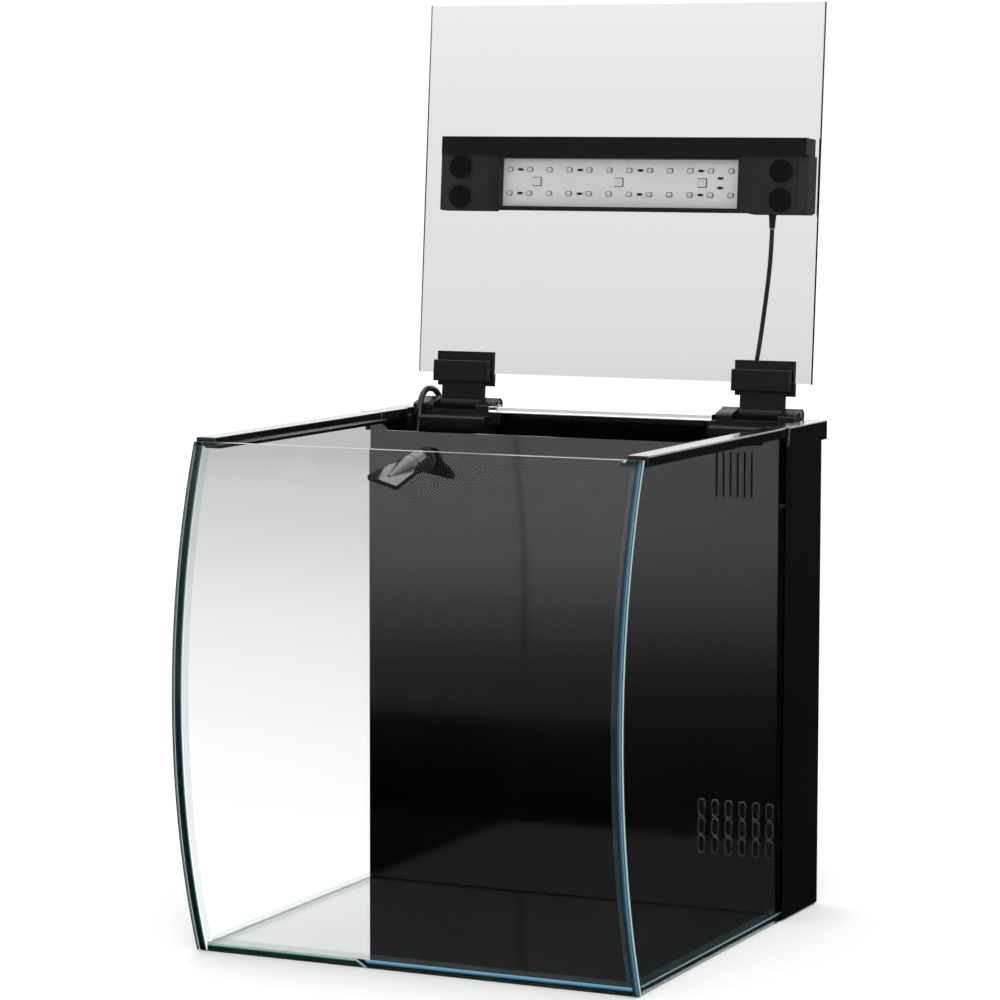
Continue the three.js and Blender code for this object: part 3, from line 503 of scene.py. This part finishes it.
def add_box(bm, low, high):
    corners = bmesh.ops.create_cube(bm, size=1.0)["verts"]
    size = [high[i] - low[i] for i in range(3)]
    middle = [(high[i] + low[i]) / 2 for i in range(3)]
    bmesh.ops.scale(bm, vec=size, verts=corners)
    bmesh.ops.translate(bm, vec=middle, verts=corners)


# ------------------------------------------------------------------ cords
def smooth_route(points, step=0.002):
    """Points close together on a centripetal Catmull-Rom curve through the given ones."""
    points = [Vector(p) for p in points]
    first = points[0] * 2 - points[1]
    last = points[-1] * 2 - points[-2]
    chain = [first, *points, last]
    route = [points[0]]
    for p0, p1, p2, p3 in zip(chain, chain[1:], chain[2:], chain[3:]):
        t0 = 0.0
        t1 = t0 + (p1 - p0).length ** 0.5
        t2 = t1 + (p2 - p1).length ** 0.5
        t3 = t2 + (p3 - p2).length ** 0.5
        count = max(1, round((p2 - p1).length / step))
        for i in range(1, count + 1):
            t = t1 + (t2 - t1) * i / count
            a1 = p0.lerp(p1, (t - t0) / (t1 - t0))
            a2 = p1.lerp(p2, (t - t1) / (t2 - t1))
            a3 = p2.lerp(p3, (t - t2) / (t3 - t2))
            b1 = a1.lerp(a2, (t - t0) / (t2 - t0))
            b2 = a2.lerp(a3, (t - t1) / (t3 - t1))
            route.append(b1.lerp(b2, (t - t1) / (t2 - t1)))
    return route


def tube(name, route, radius, material, sides=12):
    """A round tube with closed ends along a route, without twist."""
    bm = bmesh.new()
    tangents = [(b - a).normalized() for a, b in zip(route, route[1:])]
    tangents.append(tangents[-1])
    across = tangents[0].orthogonal().normalized()
    rings = []
    for i, (point, tangent) in enumerate(zip(route, tangents)):
        before = tangents[max(0, i - 1)]
        along = (before + tangent).normalized()
        across = (across - along * across.dot(along)).normalized()
        up = along.cross(across)
        ring = []
        for k in range(sides):
            angle = 2 * math.pi * k / sides
            offset = across * (radius * math.cos(angle)) + up * (radius * math.sin(angle))
            ring.append(bm.verts.new(point + offset))
        rings.append(ring)
    for a, b in zip(rings, rings[1:]):
        for k in range(sides):
            j = (k + 1) % sides
            bm.faces.new((a[k], a[j], b[j], b[k]))
    bm.faces.new(rings[0][::-1])
    bm.faces.new(rings[-1])
    return from_bmesh(name, bm, material, smooth=60.0)


COIL_PITCH = 1.025           # from one turn of a coil to the next, in cord diameters
STEP_WINDOW = (math.radians(100), math.radians(165))
COIL_STEP = math.radians(7.5)


def coil_route(centre, diameter, inner, lower_turns, upper_turns, enter, leave):
    """Turns of a flat coil wound anticlockwise, lower layer from the outside in and upper
    layer from the inside out. Each turn steps to the next inside STEP_WINDOW."""
    pitch = diameter * COIL_PITCH
    lower = [inner + pitch * (lower_turns - 1 - i) for i in range(lower_turns)]
    upper = [inner + pitch * i for i in range(upper_turns)]
    turns = [(r, 0.0) for r in lower] + [(r, pitch) for r in upper]
    opens, closes = STEP_WINDOW
    total = 2 * math.pi * (len(turns) - 1) + leave
    if leave < closes:
        total += 2 * math.pi
    count = round((total - enter) / COIL_STEP)
    route = []
    for i in range(count + 1):
        angle = enter + (total - enter) * i / count
        turn = math.floor(angle / (2 * math.pi))
        within = angle - turn * 2 * math.pi
        share = min(1.0, max(0.0, (within - opens) / (closes - opens)))
        share = share * share * (3 - 2 * share)
        now = turns[min(max(turn, 0), len(turns) - 1)]
        after = turns[min(max(turn + 1, 0), len(turns) - 1)]
        if turn < 0:
            now, share = turns[0], 0.0
        radius = now[0] + (after[0] - now[0]) * share
        height = now[1] + (after[1] - now[1]) * share
        route.append(centre + Vector((radius * math.cos(angle), radius * math.sin(angle), height)))
    return route


LAMP_CORD = 0.003
LAMP_ROUTE = [
    (107.5, 172.8, 445.4), (107.4, 172.2, 437), (107, 171.3, 425), (105.9, 170.2, 410),
    (104.2, 168.9, 393), (102.2, 167.6, 375), (99.8, 166.4, 358), (96.6, 165.2, 344),
    (93.3, 164.2, 334.5),
    (90.9, 163.2, 325), (89.6, 162, 309), (89, 161, 284), (89, 160.5, 250), (89, 160.4, 200),
    (89, 160.4, 150), (89, 160.4, 100), (89, 160.6, 62), (88.7, 161.6, 36), (88.1, 164, 16),
    (86.8, 168.8, 5.2), (84.9, 175.6, 1.9), (83.1, 184, 1.6),
]
LAMP_COIL = Vector((0.058, 0.196, 0.0016))

PUMP_CORD = 0.0042
PUMP_ROUTE = [
    (-114, 114, 76.7), (-114.3, 114, 88), (-116.6, 114.6, 108), (-121.6, 116.4, 138),
    (-127.6, 118.2, 175), (-132, 119, 215), (-133.8, 119.6, 250), (-134, 121.5, 275),
    (-134, 126.2, 293), (-134, 131, 307), (-134, 133.3, 317), (-134, 133.9, 323),
    (-134, 137, 329.2), (-134, 142.6, 332.8), (-134, 150, 333.6), (-134, 158, 331.6),
    (-134.1, 165, 325.6), (-134.2, 168.8, 316), (-134.3, 169.5, 304),
    (-134.3, 169.4, 280), (-134.4, 168.6, 230), (-134.4, 168, 170), (-134.4, 167.8, 110),
    (-133.8, 168, 66), (-131.4, 169.4, 36), (-127.2, 171.6, 16), (-121.2, 173.4, 5.8),
    (-112.6, 174.6, 2.5), (-102.1, 175, 2.2),
]
PUMP_COIL = Vector((-0.086, 0.205, 0.0022))


def lamp_cord():
    plain = [Vector(p) * MM for p in LAMP_ROUTE]
    turns = coil_route(LAMP_COIL, LAMP_CORD, 0.0121, 5, 4, math.radians(-12), math.radians(90))
    end = turns[-1]
    tail = [end + Vector((-x, 0, z)) for x, z in ((0.006, 0.0001), (0.013, 0.0003))]
    meet = [Vector((0.0827, 0.1875, 0.0016))]
    route = smooth_route([*plain, *meet, *turns, *tail], 0.0015)
    piece = tube("lamp_lead", route, LAMP_CORD / 2, CORD)
    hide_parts("lamp_cord", "lamp_cord_coil")
    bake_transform(piece, "lid", "tank", start=(0, 0.160, 0.410), end=(0, 0.160, 0.290))


def pump_cord():
    plain = [Vector(p) * MM for p in PUMP_ROUTE]
    turns = coil_route(PUMP_COIL, PUMP_CORD, 0.0169, 4, 3, math.radians(-102), math.radians(270))
    end = turns[-1]
    tail = [end + Vector((x, 0, z)) for x, z in ((0.008, 0.0002), (0.020, 0.0004))]
    route = smooth_route([*plain, *turns, *tail], 0.002)
    piece = tube("pump_lead", route, PUMP_CORD / 2, CORD)
    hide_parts("pump_cord", "pump_cord_coil")
    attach(piece, "tank")


lamp_cord()
pump_cord()


# ------------------------------------------------------------------ glass box
def paint_faces(piece, material, wanted):
    """Give a material of its own to the faces that pass a test on centre and normal."""
    piece.data.materials.append(material)
    index = len(piece.data.materials) - 1
    for face in piece.data.polygons:
        if wanted(face.center, face.normal):
            face.material_index = index


def front_pane():
    outside = bow_arc(BOW_RADIUS, 0.0, HEIGHT)
    inside = bow_arc(BOW_RADIUS - GLASS, 0.0, HEIGHT)[::-1]
    pane = extrude_section("front_glass", outside + inside, -HALF, HALF, TANK_GLASS)
    paint_faces(pane, END_EDGE, lambda centre, normal: abs(normal.x) > 0.9)
    paint_faces(pane, TOP_EDGE, lambda centre, normal: normal.z > 0.9)
    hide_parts("front_pane")
    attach(pane, "tank")


def side_panes():
    arc = bow_arc(BOW_RADIUS - GLASS - GAP, 0.0, HEIGHT)
    section = arc + [(BACK, HEIGHT), (BACK, 0.0)]
    for side, x0, edge in (("left", -HALF, LEFT_EDGE), ("right", HALF - GLASS, RIGHT_EDGE)):
        pane = extrude_section(f"{side}_glass", section, x0, x0 + GLASS, TANK_GLASS)
        paint_faces(pane, edge, lambda centre, normal: abs(normal.x) < 0.1 and centre.y < 0.0
                    and centre.z > 0.0002 and centre.z < HEIGHT - 0.0002)
        paint_faces(pane, edge, lambda centre, normal: normal.y > 0.9)
        paint_faces(pane, TOP_EDGE, lambda centre, normal: normal.z > 0.9)
        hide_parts(f"{side}_pane")
        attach(pane, "tank")


def flat_panes():
    bottom = tidy_copy("bottom_pane", "bottom_glass", BOTTOM_GLASS, 0.0)
    paint_faces(bottom, FOOT_EDGE, lambda centre, normal: abs(normal.y) > 0.7)
    paint_faces(bottom, SIDE_FOOT_EDGE, lambda centre, normal: abs(normal.x) > 0.7)
    rear = tidy_copy("back_pane", "back_glass", TANK_GLASS, 0.0)
    paint_faces(rear, TOP_EDGE, lambda centre, normal: normal.z > 0.9)


def partition_panel():
    panel = tidy_copy("partition_panel", "partition_finish", ACRYLIC, 0.0)
    paint_faces(panel, CHAMBER, lambda centre, normal: abs(normal.y) < 0.5)


def closed_tube(bm, path, radius, sides=10):
    """Adds a ring-shaped tube along a closed path that lies in a plane of constant y."""
    count = len(path)
    rings = []
    for i in range(count):
        along = (path[(i + 1) % count] - path[i - 1]).normalized()
        out = along.cross(Vector((0, 1, 0))).normalized()
        ring = []
        for k in range(sides):
            angle = 2 * math.pi * k / sides
            offset = out * (radius * math.cos(angle)) + Vector((0, radius * math.sin(angle), 0))
            ring.append(bm.verts.new(path[i] + offset))
        rings.append(ring)
    for i in range(count):
        here, there = rings[i], rings[(i + 1) % count]
        for k in range(sides):
            j = (k + 1) % sides
            bm.faces.new((here[k], there[k], there[j], here[j]))


SLOT_COLUMNS, SLOT_PITCH_X, SLOT_FIRST_X = 6, 0.00945, 0.0937
SLOT_ROWS, SLOT_PITCH_Z, SLOT_FIRST_Z = 3, 0.0122, 0.0472
SLOT_HALF_WIDTH = 0.00225
SLOT_STRAIGHT = 0.0033       # half the straight length between a slot's round ends
LIP_RADIUS = 0.0007


def slot_outline(x, z, steps=12):
    """Points round one slot, from the right over its upper end to its lower end."""
    points = []
    for first, middle in ((0, z + SLOT_STRAIGHT), (steps, z - SLOT_STRAIGHT)):
        for i in range(first, first + steps + 1):
            angle = math.pi * i / steps
            points.append(Vector((x + SLOT_HALF_WIDTH * math.cos(angle), PARTITION_FACE,
                                  middle + SLOT_HALF_WIDTH * math.sin(angle))))
    return points


def intake_lips():
    """Raised rounded lips round the eighteen intake slots of the partition, painted a lighter grey than it
    as painted sheen.
    """
    bm = bmesh.new()
    for row in range(SLOT_ROWS):
        for column in range(SLOT_COLUMNS):
            x = SLOT_FIRST_X + SLOT_PITCH_X * column
            z = SLOT_FIRST_Z + SLOT_PITCH_Z * row
            closed_tube(bm, slot_outline(x, z), LIP_RADIUS)
    lips = from_bmesh("intake_lips", bm, LIP_GREY_SHEEN, smooth=60.0)
    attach(lips, "tank")


front_pane()
side_panes()
flat_panes()
partition_panel()
intake_lips()

DRESS = {
    "lid_glass": (LID_GLASS, 0.0004, ["lid_glass", "rear_glass_strip"]),
    "silicone": (SILICONE, 0.0008, ["seam_front_left", "seam_front_right", "seam_bottom"]),
    "black_acrylic": (CHAMBER, 0.0003, ["divider_right", "divider_left"]),
    "black_plastic": (BLACK, 0.0006, [
        "hinge_base_left", "hinge_base_right", "hinge_arm_left", "hinge_arm_right",
        "clamp_plate_left", "clamp_plate_right"]),
    "steel": (STEEL, 0.0003, [
        "clamp_screw_left_1", "clamp_screw_left_2", "clamp_screw_right_1",
        "clamp_screw_right_2", "hinge_pin_left", "hinge_pin_right", "impeller_shaft"]),
    "led_board": (BOARD, 0.0002, ["led_board"]),
    "black_rubber": (RUBBER, 0.0004, ["lamp_strain_relief", "pump_strain_relief"]),
    "pump_plastic": (PUMP, 0.0008, [
        "pump_body", "pump_intake_cover", "return_elbow", "bulkhead_ring", "bulkhead_nut",
        "media_basket", "lamp_adapter", "pump_plug"]),
    "rotor": (ROTOR, 0.0003, ["impeller"]),
    "hose": (HOSE, 0.0004, ["return_hose"]),
    "nozzle_gloss": (NOZZLE, 0.0003, ["nozzle_collar", "nozzle_spout"]),
    "foam": (FOAM, 0.0015, ["filter_sponge", "sponge_pad"]),
}
SPECIAL = [                    # nodes whose surface differs from the rest of their slot
    ("left_rim", RIM_BLACK, "black_plastic", 0.0005),
    ("right_rim", RIM_BLACK, "black_plastic", 0.0005),
    ("corner_cap_left", RIM_BLACK, "black_plastic", 0.0006),
    ("corner_cap_right", RIM_BLACK, "black_plastic", 0.0006),
    ("rear_shroud", SHROUD_BLACK, "black_plastic", 0.0003),
    *((f"suction_cup_{number}", CUP_RUBBER, "black_rubber", 0.0004) for number in range(1, 5)),
]
KEEP_NODE = {"lamp_adapter", "pump_plug"}    # named by the cords, so shown as they are


def dress_nodes():
    for slot, (material, width, nodes) in DRESS.items():
        for node in nodes:
            if node in KEEP_NODE:
                source = frame["nodes"][node]
                source.data.materials.clear()
                source.data.materials.append(material)
                round_edges(source, width)
                continue
            tidy_copy(node, f"{node}_finish", material, width)
    for node, material, slot, width in SPECIAL:
        tidy_copy(node, f"{node}_finish", material, width)


dress_nodes()


# ------------------------------------------------------------------ lamp, media and ties
# Painted shade: dark strips along the front of the wings and across the right end of the lamp's underside,
# where its grooves lie in shade.
WING_SHADE_LINES = ((-LAMP_HALF, -0.0950), (0.0930, LAMP_HALF))
END_SHADE_LINE = (0.1262, 0.1267)
SHADE_LINE_DEPTH = (-0.00012, 0.0004)    # how far a painted shade line goes below and above the underside


def lamp_finish():
    """The lamp's housing, its underside painted lighter at both ends than in the middle as painted light and
    shade, and dark strips of painted shade along its grooves.
    """
    housing = tidy_copy("lamp_housing", "lamp_housing_finish", LAMP_BLACK, 0.0006)
    back = OPEN.inverted()
    turn = back.to_3x3()
    paint_faces(housing, LAMP_UNDERSIDE_SHADE, lambda centre, normal: (turn @ normal).z < -0.9
                and abs((back @ centre).z - LAMP_LOW) < 0.0004)
    bm = bmesh.new()
    low, high = (LAMP_LOW + depth for depth in SHADE_LINE_DEPTH)
    for x0, x1 in WING_SHADE_LINES:
        add_box(bm, (x0, LAMP_FRONT - 0.0003, low), (x1, LAMP_FRONT + 0.0006, high))
    add_box(bm, (END_SHADE_LINE[0], LAMP_FRONT + 0.0010, low), (END_SHADE_LINE[1], LAMP_REAR, high))
    bmesh.ops.transform(bm, matrix=OPEN, verts=bm.verts)
    groove_shade = from_bmesh("lamp_groove_shade", bm, GROOVE_SHADE_BLACK)
    round_edges(groove_shade, 0.00008, 1)
    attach(groove_shade, "lid")


RING_COUNTS = (11, 4, 13)


def media_rings():
    """Short ceramic tubes heaped in the basket, in place of the solid block of media."""
    source = frame["nodes"]["bio_media"]
    corners = [source.matrix_world @ Vector(c) for c in source.bound_box]
    low = Vector([min(c[i] for c in corners) for i in range(3)])
    high = Vector([max(c[i] for c in corners) for i in range(3)])
    draw = random.Random(7)
    bm = bmesh.new()
    columns, rows, layers = RING_COUNTS
    step = [(high[i] - low[i]) / RING_COUNTS[i] for i in range(3)]
    for k in range(layers):
        for j in range(rows):
            for i in range(columns):
                centre = Vector([low[a] + step[a] * (n + 0.5) for a, n in enumerate((i, j, k))])
                add_ring(bm, centre, draw)
    rings = from_bmesh("media_rings", bm, CERAMIC, smooth=50.0)
    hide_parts("bio_media")
    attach(rings, body_of(source)[0])


def add_ring(bm, centre, draw):
    """One ceramic tube, turned at random."""
    outer, bore, half, sides = 0.0043, 0.0022, 0.0042, 12
    turn = (Matrix.Rotation(draw.uniform(-0.7, 0.7), 4, "X")
            @ Matrix.Rotation(draw.uniform(0, 3.1), 4, "Z")
            @ Matrix.Rotation(draw.choice((0.1, 1.35, 1.6)), 4, "Y")).to_3x3()
    loops = []
    for radius, height in ((outer, -half), (outer, half), (bore, half), (bore, -half)):
        loop = []
        for n in range(sides):
            angle = 2 * math.pi * n / sides
            point = Vector((radius * math.cos(angle), radius * math.sin(angle), height))
            loop.append(bm.verts.new(centre + turn @ point))
        loops.append(loop)
    for here, there in zip(loops, loops[1:] + loops[:1]):
        for n in range(sides):
            m = (n + 1) % sides
            bm.faces.new((here[n], here[m], there[m], there[n]))


TIE_HALF_WIDTH = 0.0012
TIE_HALF_THICKNESS = 0.0003
TIE_LOW = 0.0002


def coil_ties(name, coil, inner, outer, height, angles):
    """Twist ties that hold a coil of cord, each a flat closed loop round its turns."""
    centre = Vector((coil.x, coil.y, 0.0))
    bm = bmesh.new()
    for angle in angles:
        out = Vector((math.cos(angle), math.sin(angle), 0))
        side = Vector((-out.y, out.x, 0))
        corners = [(inner, TIE_LOW), (outer, TIE_LOW), (outer, height), (inner, height)]
        for a, b in zip(corners, corners[1:] + corners[:1]):
            p = centre + out * a[0] + Vector((0, 0, a[1]))
            q = centre + out * b[0] + Vector((0, 0, b[1]))
            along = (q - p).normalized()
            up = along.cross(side)
            over = along * TIE_HALF_THICKNESS
            ends = [[end + side * (s * TIE_HALF_WIDTH) + up * (t * TIE_HALF_THICKNESS)
                     for s, t in ((-1, -1), (1, -1), (1, 1), (-1, 1))]
                    for end in (p - over, q + over)]
            near, far = ([bm.verts.new(v) for v in ring] for ring in ends)
            bm.faces.new(near)
            bm.faces.new(far[::-1])
            for n in range(4):
                m = (n + 1) % 4
                bm.faces.new((near[n], far[n], far[m], near[m]))
    ties = from_bmesh(name, bm, CORD)
    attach(ties, "tank")


lamp_finish()
media_rings()
coil_ties("lamp_coil_ties", LAMP_COIL, inner=0.0096, outer=0.0272, height=0.0069,
          angles=(math.radians(40), math.radians(215)))
coil_ties("pump_coil_ties", PUMP_COIL, inner=0.0138, outer=0.0336, height=0.0094,
          angles=(math.radians(45), math.radians(205)))


# ------------------------------------------------------------------ LED board parts
LED_ROWS = (-0.0101, 0.0060)
LED_PITCH = 0.01475
SMALL_LEDS = [(-0.0855 + LED_PITCH * i, y) for y in LED_ROWS for i in range(12)]
LARGE_LEDS = [(x, -0.0020) for x in (-0.0650, -0.0045, 0.0562)]
RESISTORS = [(x, y) for y in LED_ROWS for x in (-0.0777, -0.0333, 0.0110, 0.0550)]
RESISTORS += [(0.0690, -0.0052), (0.0690, 0.0012)]


def add_part(bm, x, y, half_x, half_y, height):
    """A box that stands on the face of the board."""
    add_box(bm, (x - half_x, y - half_y, BOARD_FACE - height),
            (x + half_x, y + half_y, BOARD_FACE))


def led_parts():
    """The small parts on the LED board, made for the closed lid and turned open."""
    bodies, lenses, chips, solder, shade_rims = (bmesh.new() for _ in range(5))
    for x, y in SMALL_LEDS:
        # Painted shade: a dark frame under each LED, wider than its body.
        add_part(shade_rims, x, y, 0.0019, 0.0017, 0.0004)
        add_part(bodies, x, y, 0.0015, 0.0013, 0.0009)
        add_part(lenses, x, y, 0.0009, 0.0008, 0.00105)
        for side in (-1, 1):
            add_part(solder, x + side * 0.0022, y, 0.0003, 0.0009, 0.0003)
    for x, y in LARGE_LEDS:
        add_part(shade_rims, x, y, 0.0032, 0.0031, 0.0005)
        add_part(bodies, x, y, 0.0027, 0.0026, 0.0016)
        add_part(lenses, x, y, 0.0014, 0.0014, 0.0018)
        for side in (-1, 1):
            for dy in (-0.0016, 0.0, 0.0016):
                add_part(solder, x + side * 0.003, y + dy, 0.0004, 0.0005, 0.0003)
    for x, y in RESISTORS:
        add_part(chips, x, y, 0.0016, 0.0008, 0.0006)
        for side in (-1, 1):
            add_part(solder, x + side * 0.0019, y, 0.0004, 0.0008, 0.0005)
    for name, bm, material in (("led_bodies", bodies, LED_BODY), ("led_lenses", lenses, LED_LENS),
                               ("resistors", chips, CHIP), ("solder_pads", solder, SOLDER),
                               ("led_shade_rims", shade_rims, LED_SHADE_RIM)):
        bmesh.ops.transform(bm, matrix=OPEN, verts=bm.verts)
        piece = from_bmesh(name, bm, material)
        round_edges(piece, 0.00015, 1)
        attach(piece, "lid")


led_parts()


# ------------------------------------------------------------------ light and surroundings
def math_node(tree, operation, first, second):
    node = tree.nodes.new("ShaderNodeMath")
    node.operation = operation
    for socket, value in zip(node.inputs, (first, second)):
        if isinstance(value, (int, float)):
            socket.default_value = value
        else:
            tree.links.new(value, socket)
    return node.outputs["Value"]


def mix_colour(tree, factor, first, second):
    node = tree.nodes.new("ShaderNodeMix")
    node.data_type = "RGBA"
    tree.links.new(factor, node.inputs["Factor"])
    for name, value in (("A", first), ("B", second)):
        socket = next(i for i in node.inputs if i.name == name and i.type == "RGBA")
        if isinstance(value, (int, float)):
            socket.default_value = (value, value, value, 1.0)
        else:
            tree.links.new(value, socket)
    return next(o for o in node.outputs if o.type == "RGBA")


def sky_ramp(tree, height, low, high, stops):
    """A ramp over the height of a direction, from low to high, with brightness per height."""
    share = tree.nodes.new("ShaderNodeMapRange")
    share.inputs["From Min"].default_value = low
    share.inputs["From Max"].default_value = high
    tree.links.new(height, share.inputs["Value"])
    places = [((z - low) / (high - low), level) for z, level in stops]
    return ramp(tree, share.outputs["Result"], places)


CAMERA_WHITE = 1.1
SCATTERED_WHITE = 1.0


def studio_world():
    """A white studio. The camera sees it plain white, glass lets it through greyer near the
    horizon, and gloss mirrors a brightness for each height, one in front and one behind."""
    world = bpy.data.worlds.new("studio")
    scene.world = world
    world.use_nodes = True
    tree = world.node_tree
    tree.nodes.clear()
    direction = tree.nodes.new("ShaderNodeTexCoord")
    split = tree.nodes.new("ShaderNodeSeparateXYZ")
    tree.links.new(direction.outputs["Generated"], split.inputs["Vector"])
    height = split.outputs["Z"]
    path = tree.nodes.new("ShaderNodeLightPath")

    through = sky_ramp(tree, height, -0.22, 0.08, [
        (-0.2056, 1.28), (-0.19, 1.24), (-0.1797, 1.17), (-0.164, 1.12), (-0.1536, 1.06),
        (-0.143, 1.02), (-0.1325, 0.965), (-0.122, 0.89), (-0.1114, 0.80), (-0.1009, 0.73),
        (-0.0955, 0.69), (-0.0877, 0.58), (-0.0800, 0.60), (-0.069, 0.72), (-0.0637, 0.75),
        (-0.053, 0.78), (-0.029, 0.81), (0.005, 0.84), (0.026, 0.885), (0.06, 1.0)])
    front = sky_ramp(tree, height, -0.20, 0.60, [
        (-0.18, 0.0), (-0.169, 0.004), (-0.164, 0.010), (-0.159, 0.006), (-0.1536, 0.024),
        (-0.148, 0.10), (-0.143, 0.175), (-0.138, 0.28), (-0.1325, 0.40), (-0.1273, 0.56),
        (-0.122, 0.69), (-0.117, 0.83), (-0.111, 0.93), (-0.07, 0.95), (-0.02, 0.55),
        (0.05, 0.27), (0.15, 0.16), (0.30, 0.6), (0.53, 1.4)])
    rear = sky_ramp(tree, height, -0.20, 0.16, [
        (-0.05, 0.01), (0.0, 0.12), (0.04, 0.7), (0.08, 1.5), (0.15, 1.95)])
    facing = tree.nodes.new("ShaderNodeMapRange")
    facing.inputs["From Min"].default_value = -0.3
    facing.inputs["From Max"].default_value = 0.3
    tree.links.new(split.outputs["Y"], facing.inputs["Value"])
    mirrored = mix_colour(tree, facing.outputs["Result"], front, rear)

    seen = mix_colour(tree, path.outputs["Is Camera Ray"], through, CAMERA_WHITE)
    reflected = math_node(tree, "GREATER_THAN", path.outputs["Glossy Depth"], 0.5)
    seen = mix_colour(tree, reflected, seen, mirrored)
    scattered = math_node(tree, "GREATER_THAN", path.outputs["Diffuse Depth"], 0.5)
    seen = mix_colour(tree, scattered, seen, SCATTERED_WHITE)
    background = tree.nodes.new("ShaderNodeBackground")
    tree.links.new(seen, background.inputs["Color"])
    output = tree.nodes.new("ShaderNodeOutputWorld")
    tree.links.new(background.outputs["Background"], output.inputs["Surface"])


def floor_and_shade_sheet():
    """A pale floor that only the camera and scattered light meet, and a thin dark sheet under
    the tank, painted shade that stands in for the darkness beneath it, which its bottom pane mirrors."""
    material, tree, principled = shader("pale_floor")
    principled.inputs["Roughness"].default_value = 0.9
    principled.inputs["Specular IOR Level"].default_value = 0.0
    speck = noise(tree, coordinates(tree), 3.0)
    tree.links.new(ramp(tree, speck, [(0.0, 0.93), (1.0, 0.96)]), principled.inputs["Base Color"])
    path = tree.nodes.new("ShaderNodeLightPath")
    clear = tree.nodes.new("ShaderNodeBsdfTransparent")
    mix = tree.nodes.new("ShaderNodeMixShader")
    shown = math_node(tree, "MAXIMUM", path.outputs["Is Camera Ray"],
                      path.outputs["Is Diffuse Ray"])
    tree.links.new(shown, mix.inputs["Fac"])
    tree.links.new(clear.outputs["BSDF"], mix.inputs[1])
    tree.links.new(principled.outputs["BSDF"], mix.inputs[2])
    tree.links.new(mix.outputs["Shader"], tree.nodes["Material Output"].inputs["Surface"])
    bm = bmesh.new()
    add_box(bm, (-1.6, -0.9, -0.006), (1.6, 1.1, -0.0006))
    floor = from_bmesh("floor", bm, material)

    # Painted shade: a near-black sheet where the floor beneath the tank lies in its shade.
    dark, tree, principled = shader("under_tank_painted_shade")
    principled.inputs["Roughness"].default_value = 0.95
    principled.inputs["Specular IOR Level"].default_value = 0.1
    speck = noise(tree, coordinates(tree), 400.0)
    tree.links.new(ramp(tree, speck, [(0.0, 0.004), (1.0, 0.012)]), principled.inputs["Base Color"])
    bm = bmesh.new()
    add_box(bm, (-0.1485, -0.1485, -0.0005), (0.1485, 0.1490, -0.0001))
    shade_sheet = from_bmesh("under_tank_shade", bm, dark)


def area_light(name, place, aim, size, power):
    data = bpy.data.lights.new(name, "AREA")
    data.shape = "RECTANGLE"
    data.size, data.size_y = size
    data.energy = power
    light = bpy.data.objects.new(name, data)
    scene.collection.objects.link(light)
    light.visible_transmission = False    # through glass only the sky is seen, not the lamps
    light.location = place
    light.rotation_euler = (Vector(aim) - Vector(place)).to_track_quat("-Z", "Y").to_euler()


studio_world()
floor_and_shade_sheet()
area_light("softbox_top", place=(0.0, 0.1, 2.2), aim=(0, 0, 0.2), size=(1.8, 1.8), power=14.0)
area_light("softbox_front", place=(1.2, -2.4, 0.9), aim=(0, 0, 0.4), size=(1.2, 1.2), power=34.0)
scene.view_settings.view_transform = "Standard"
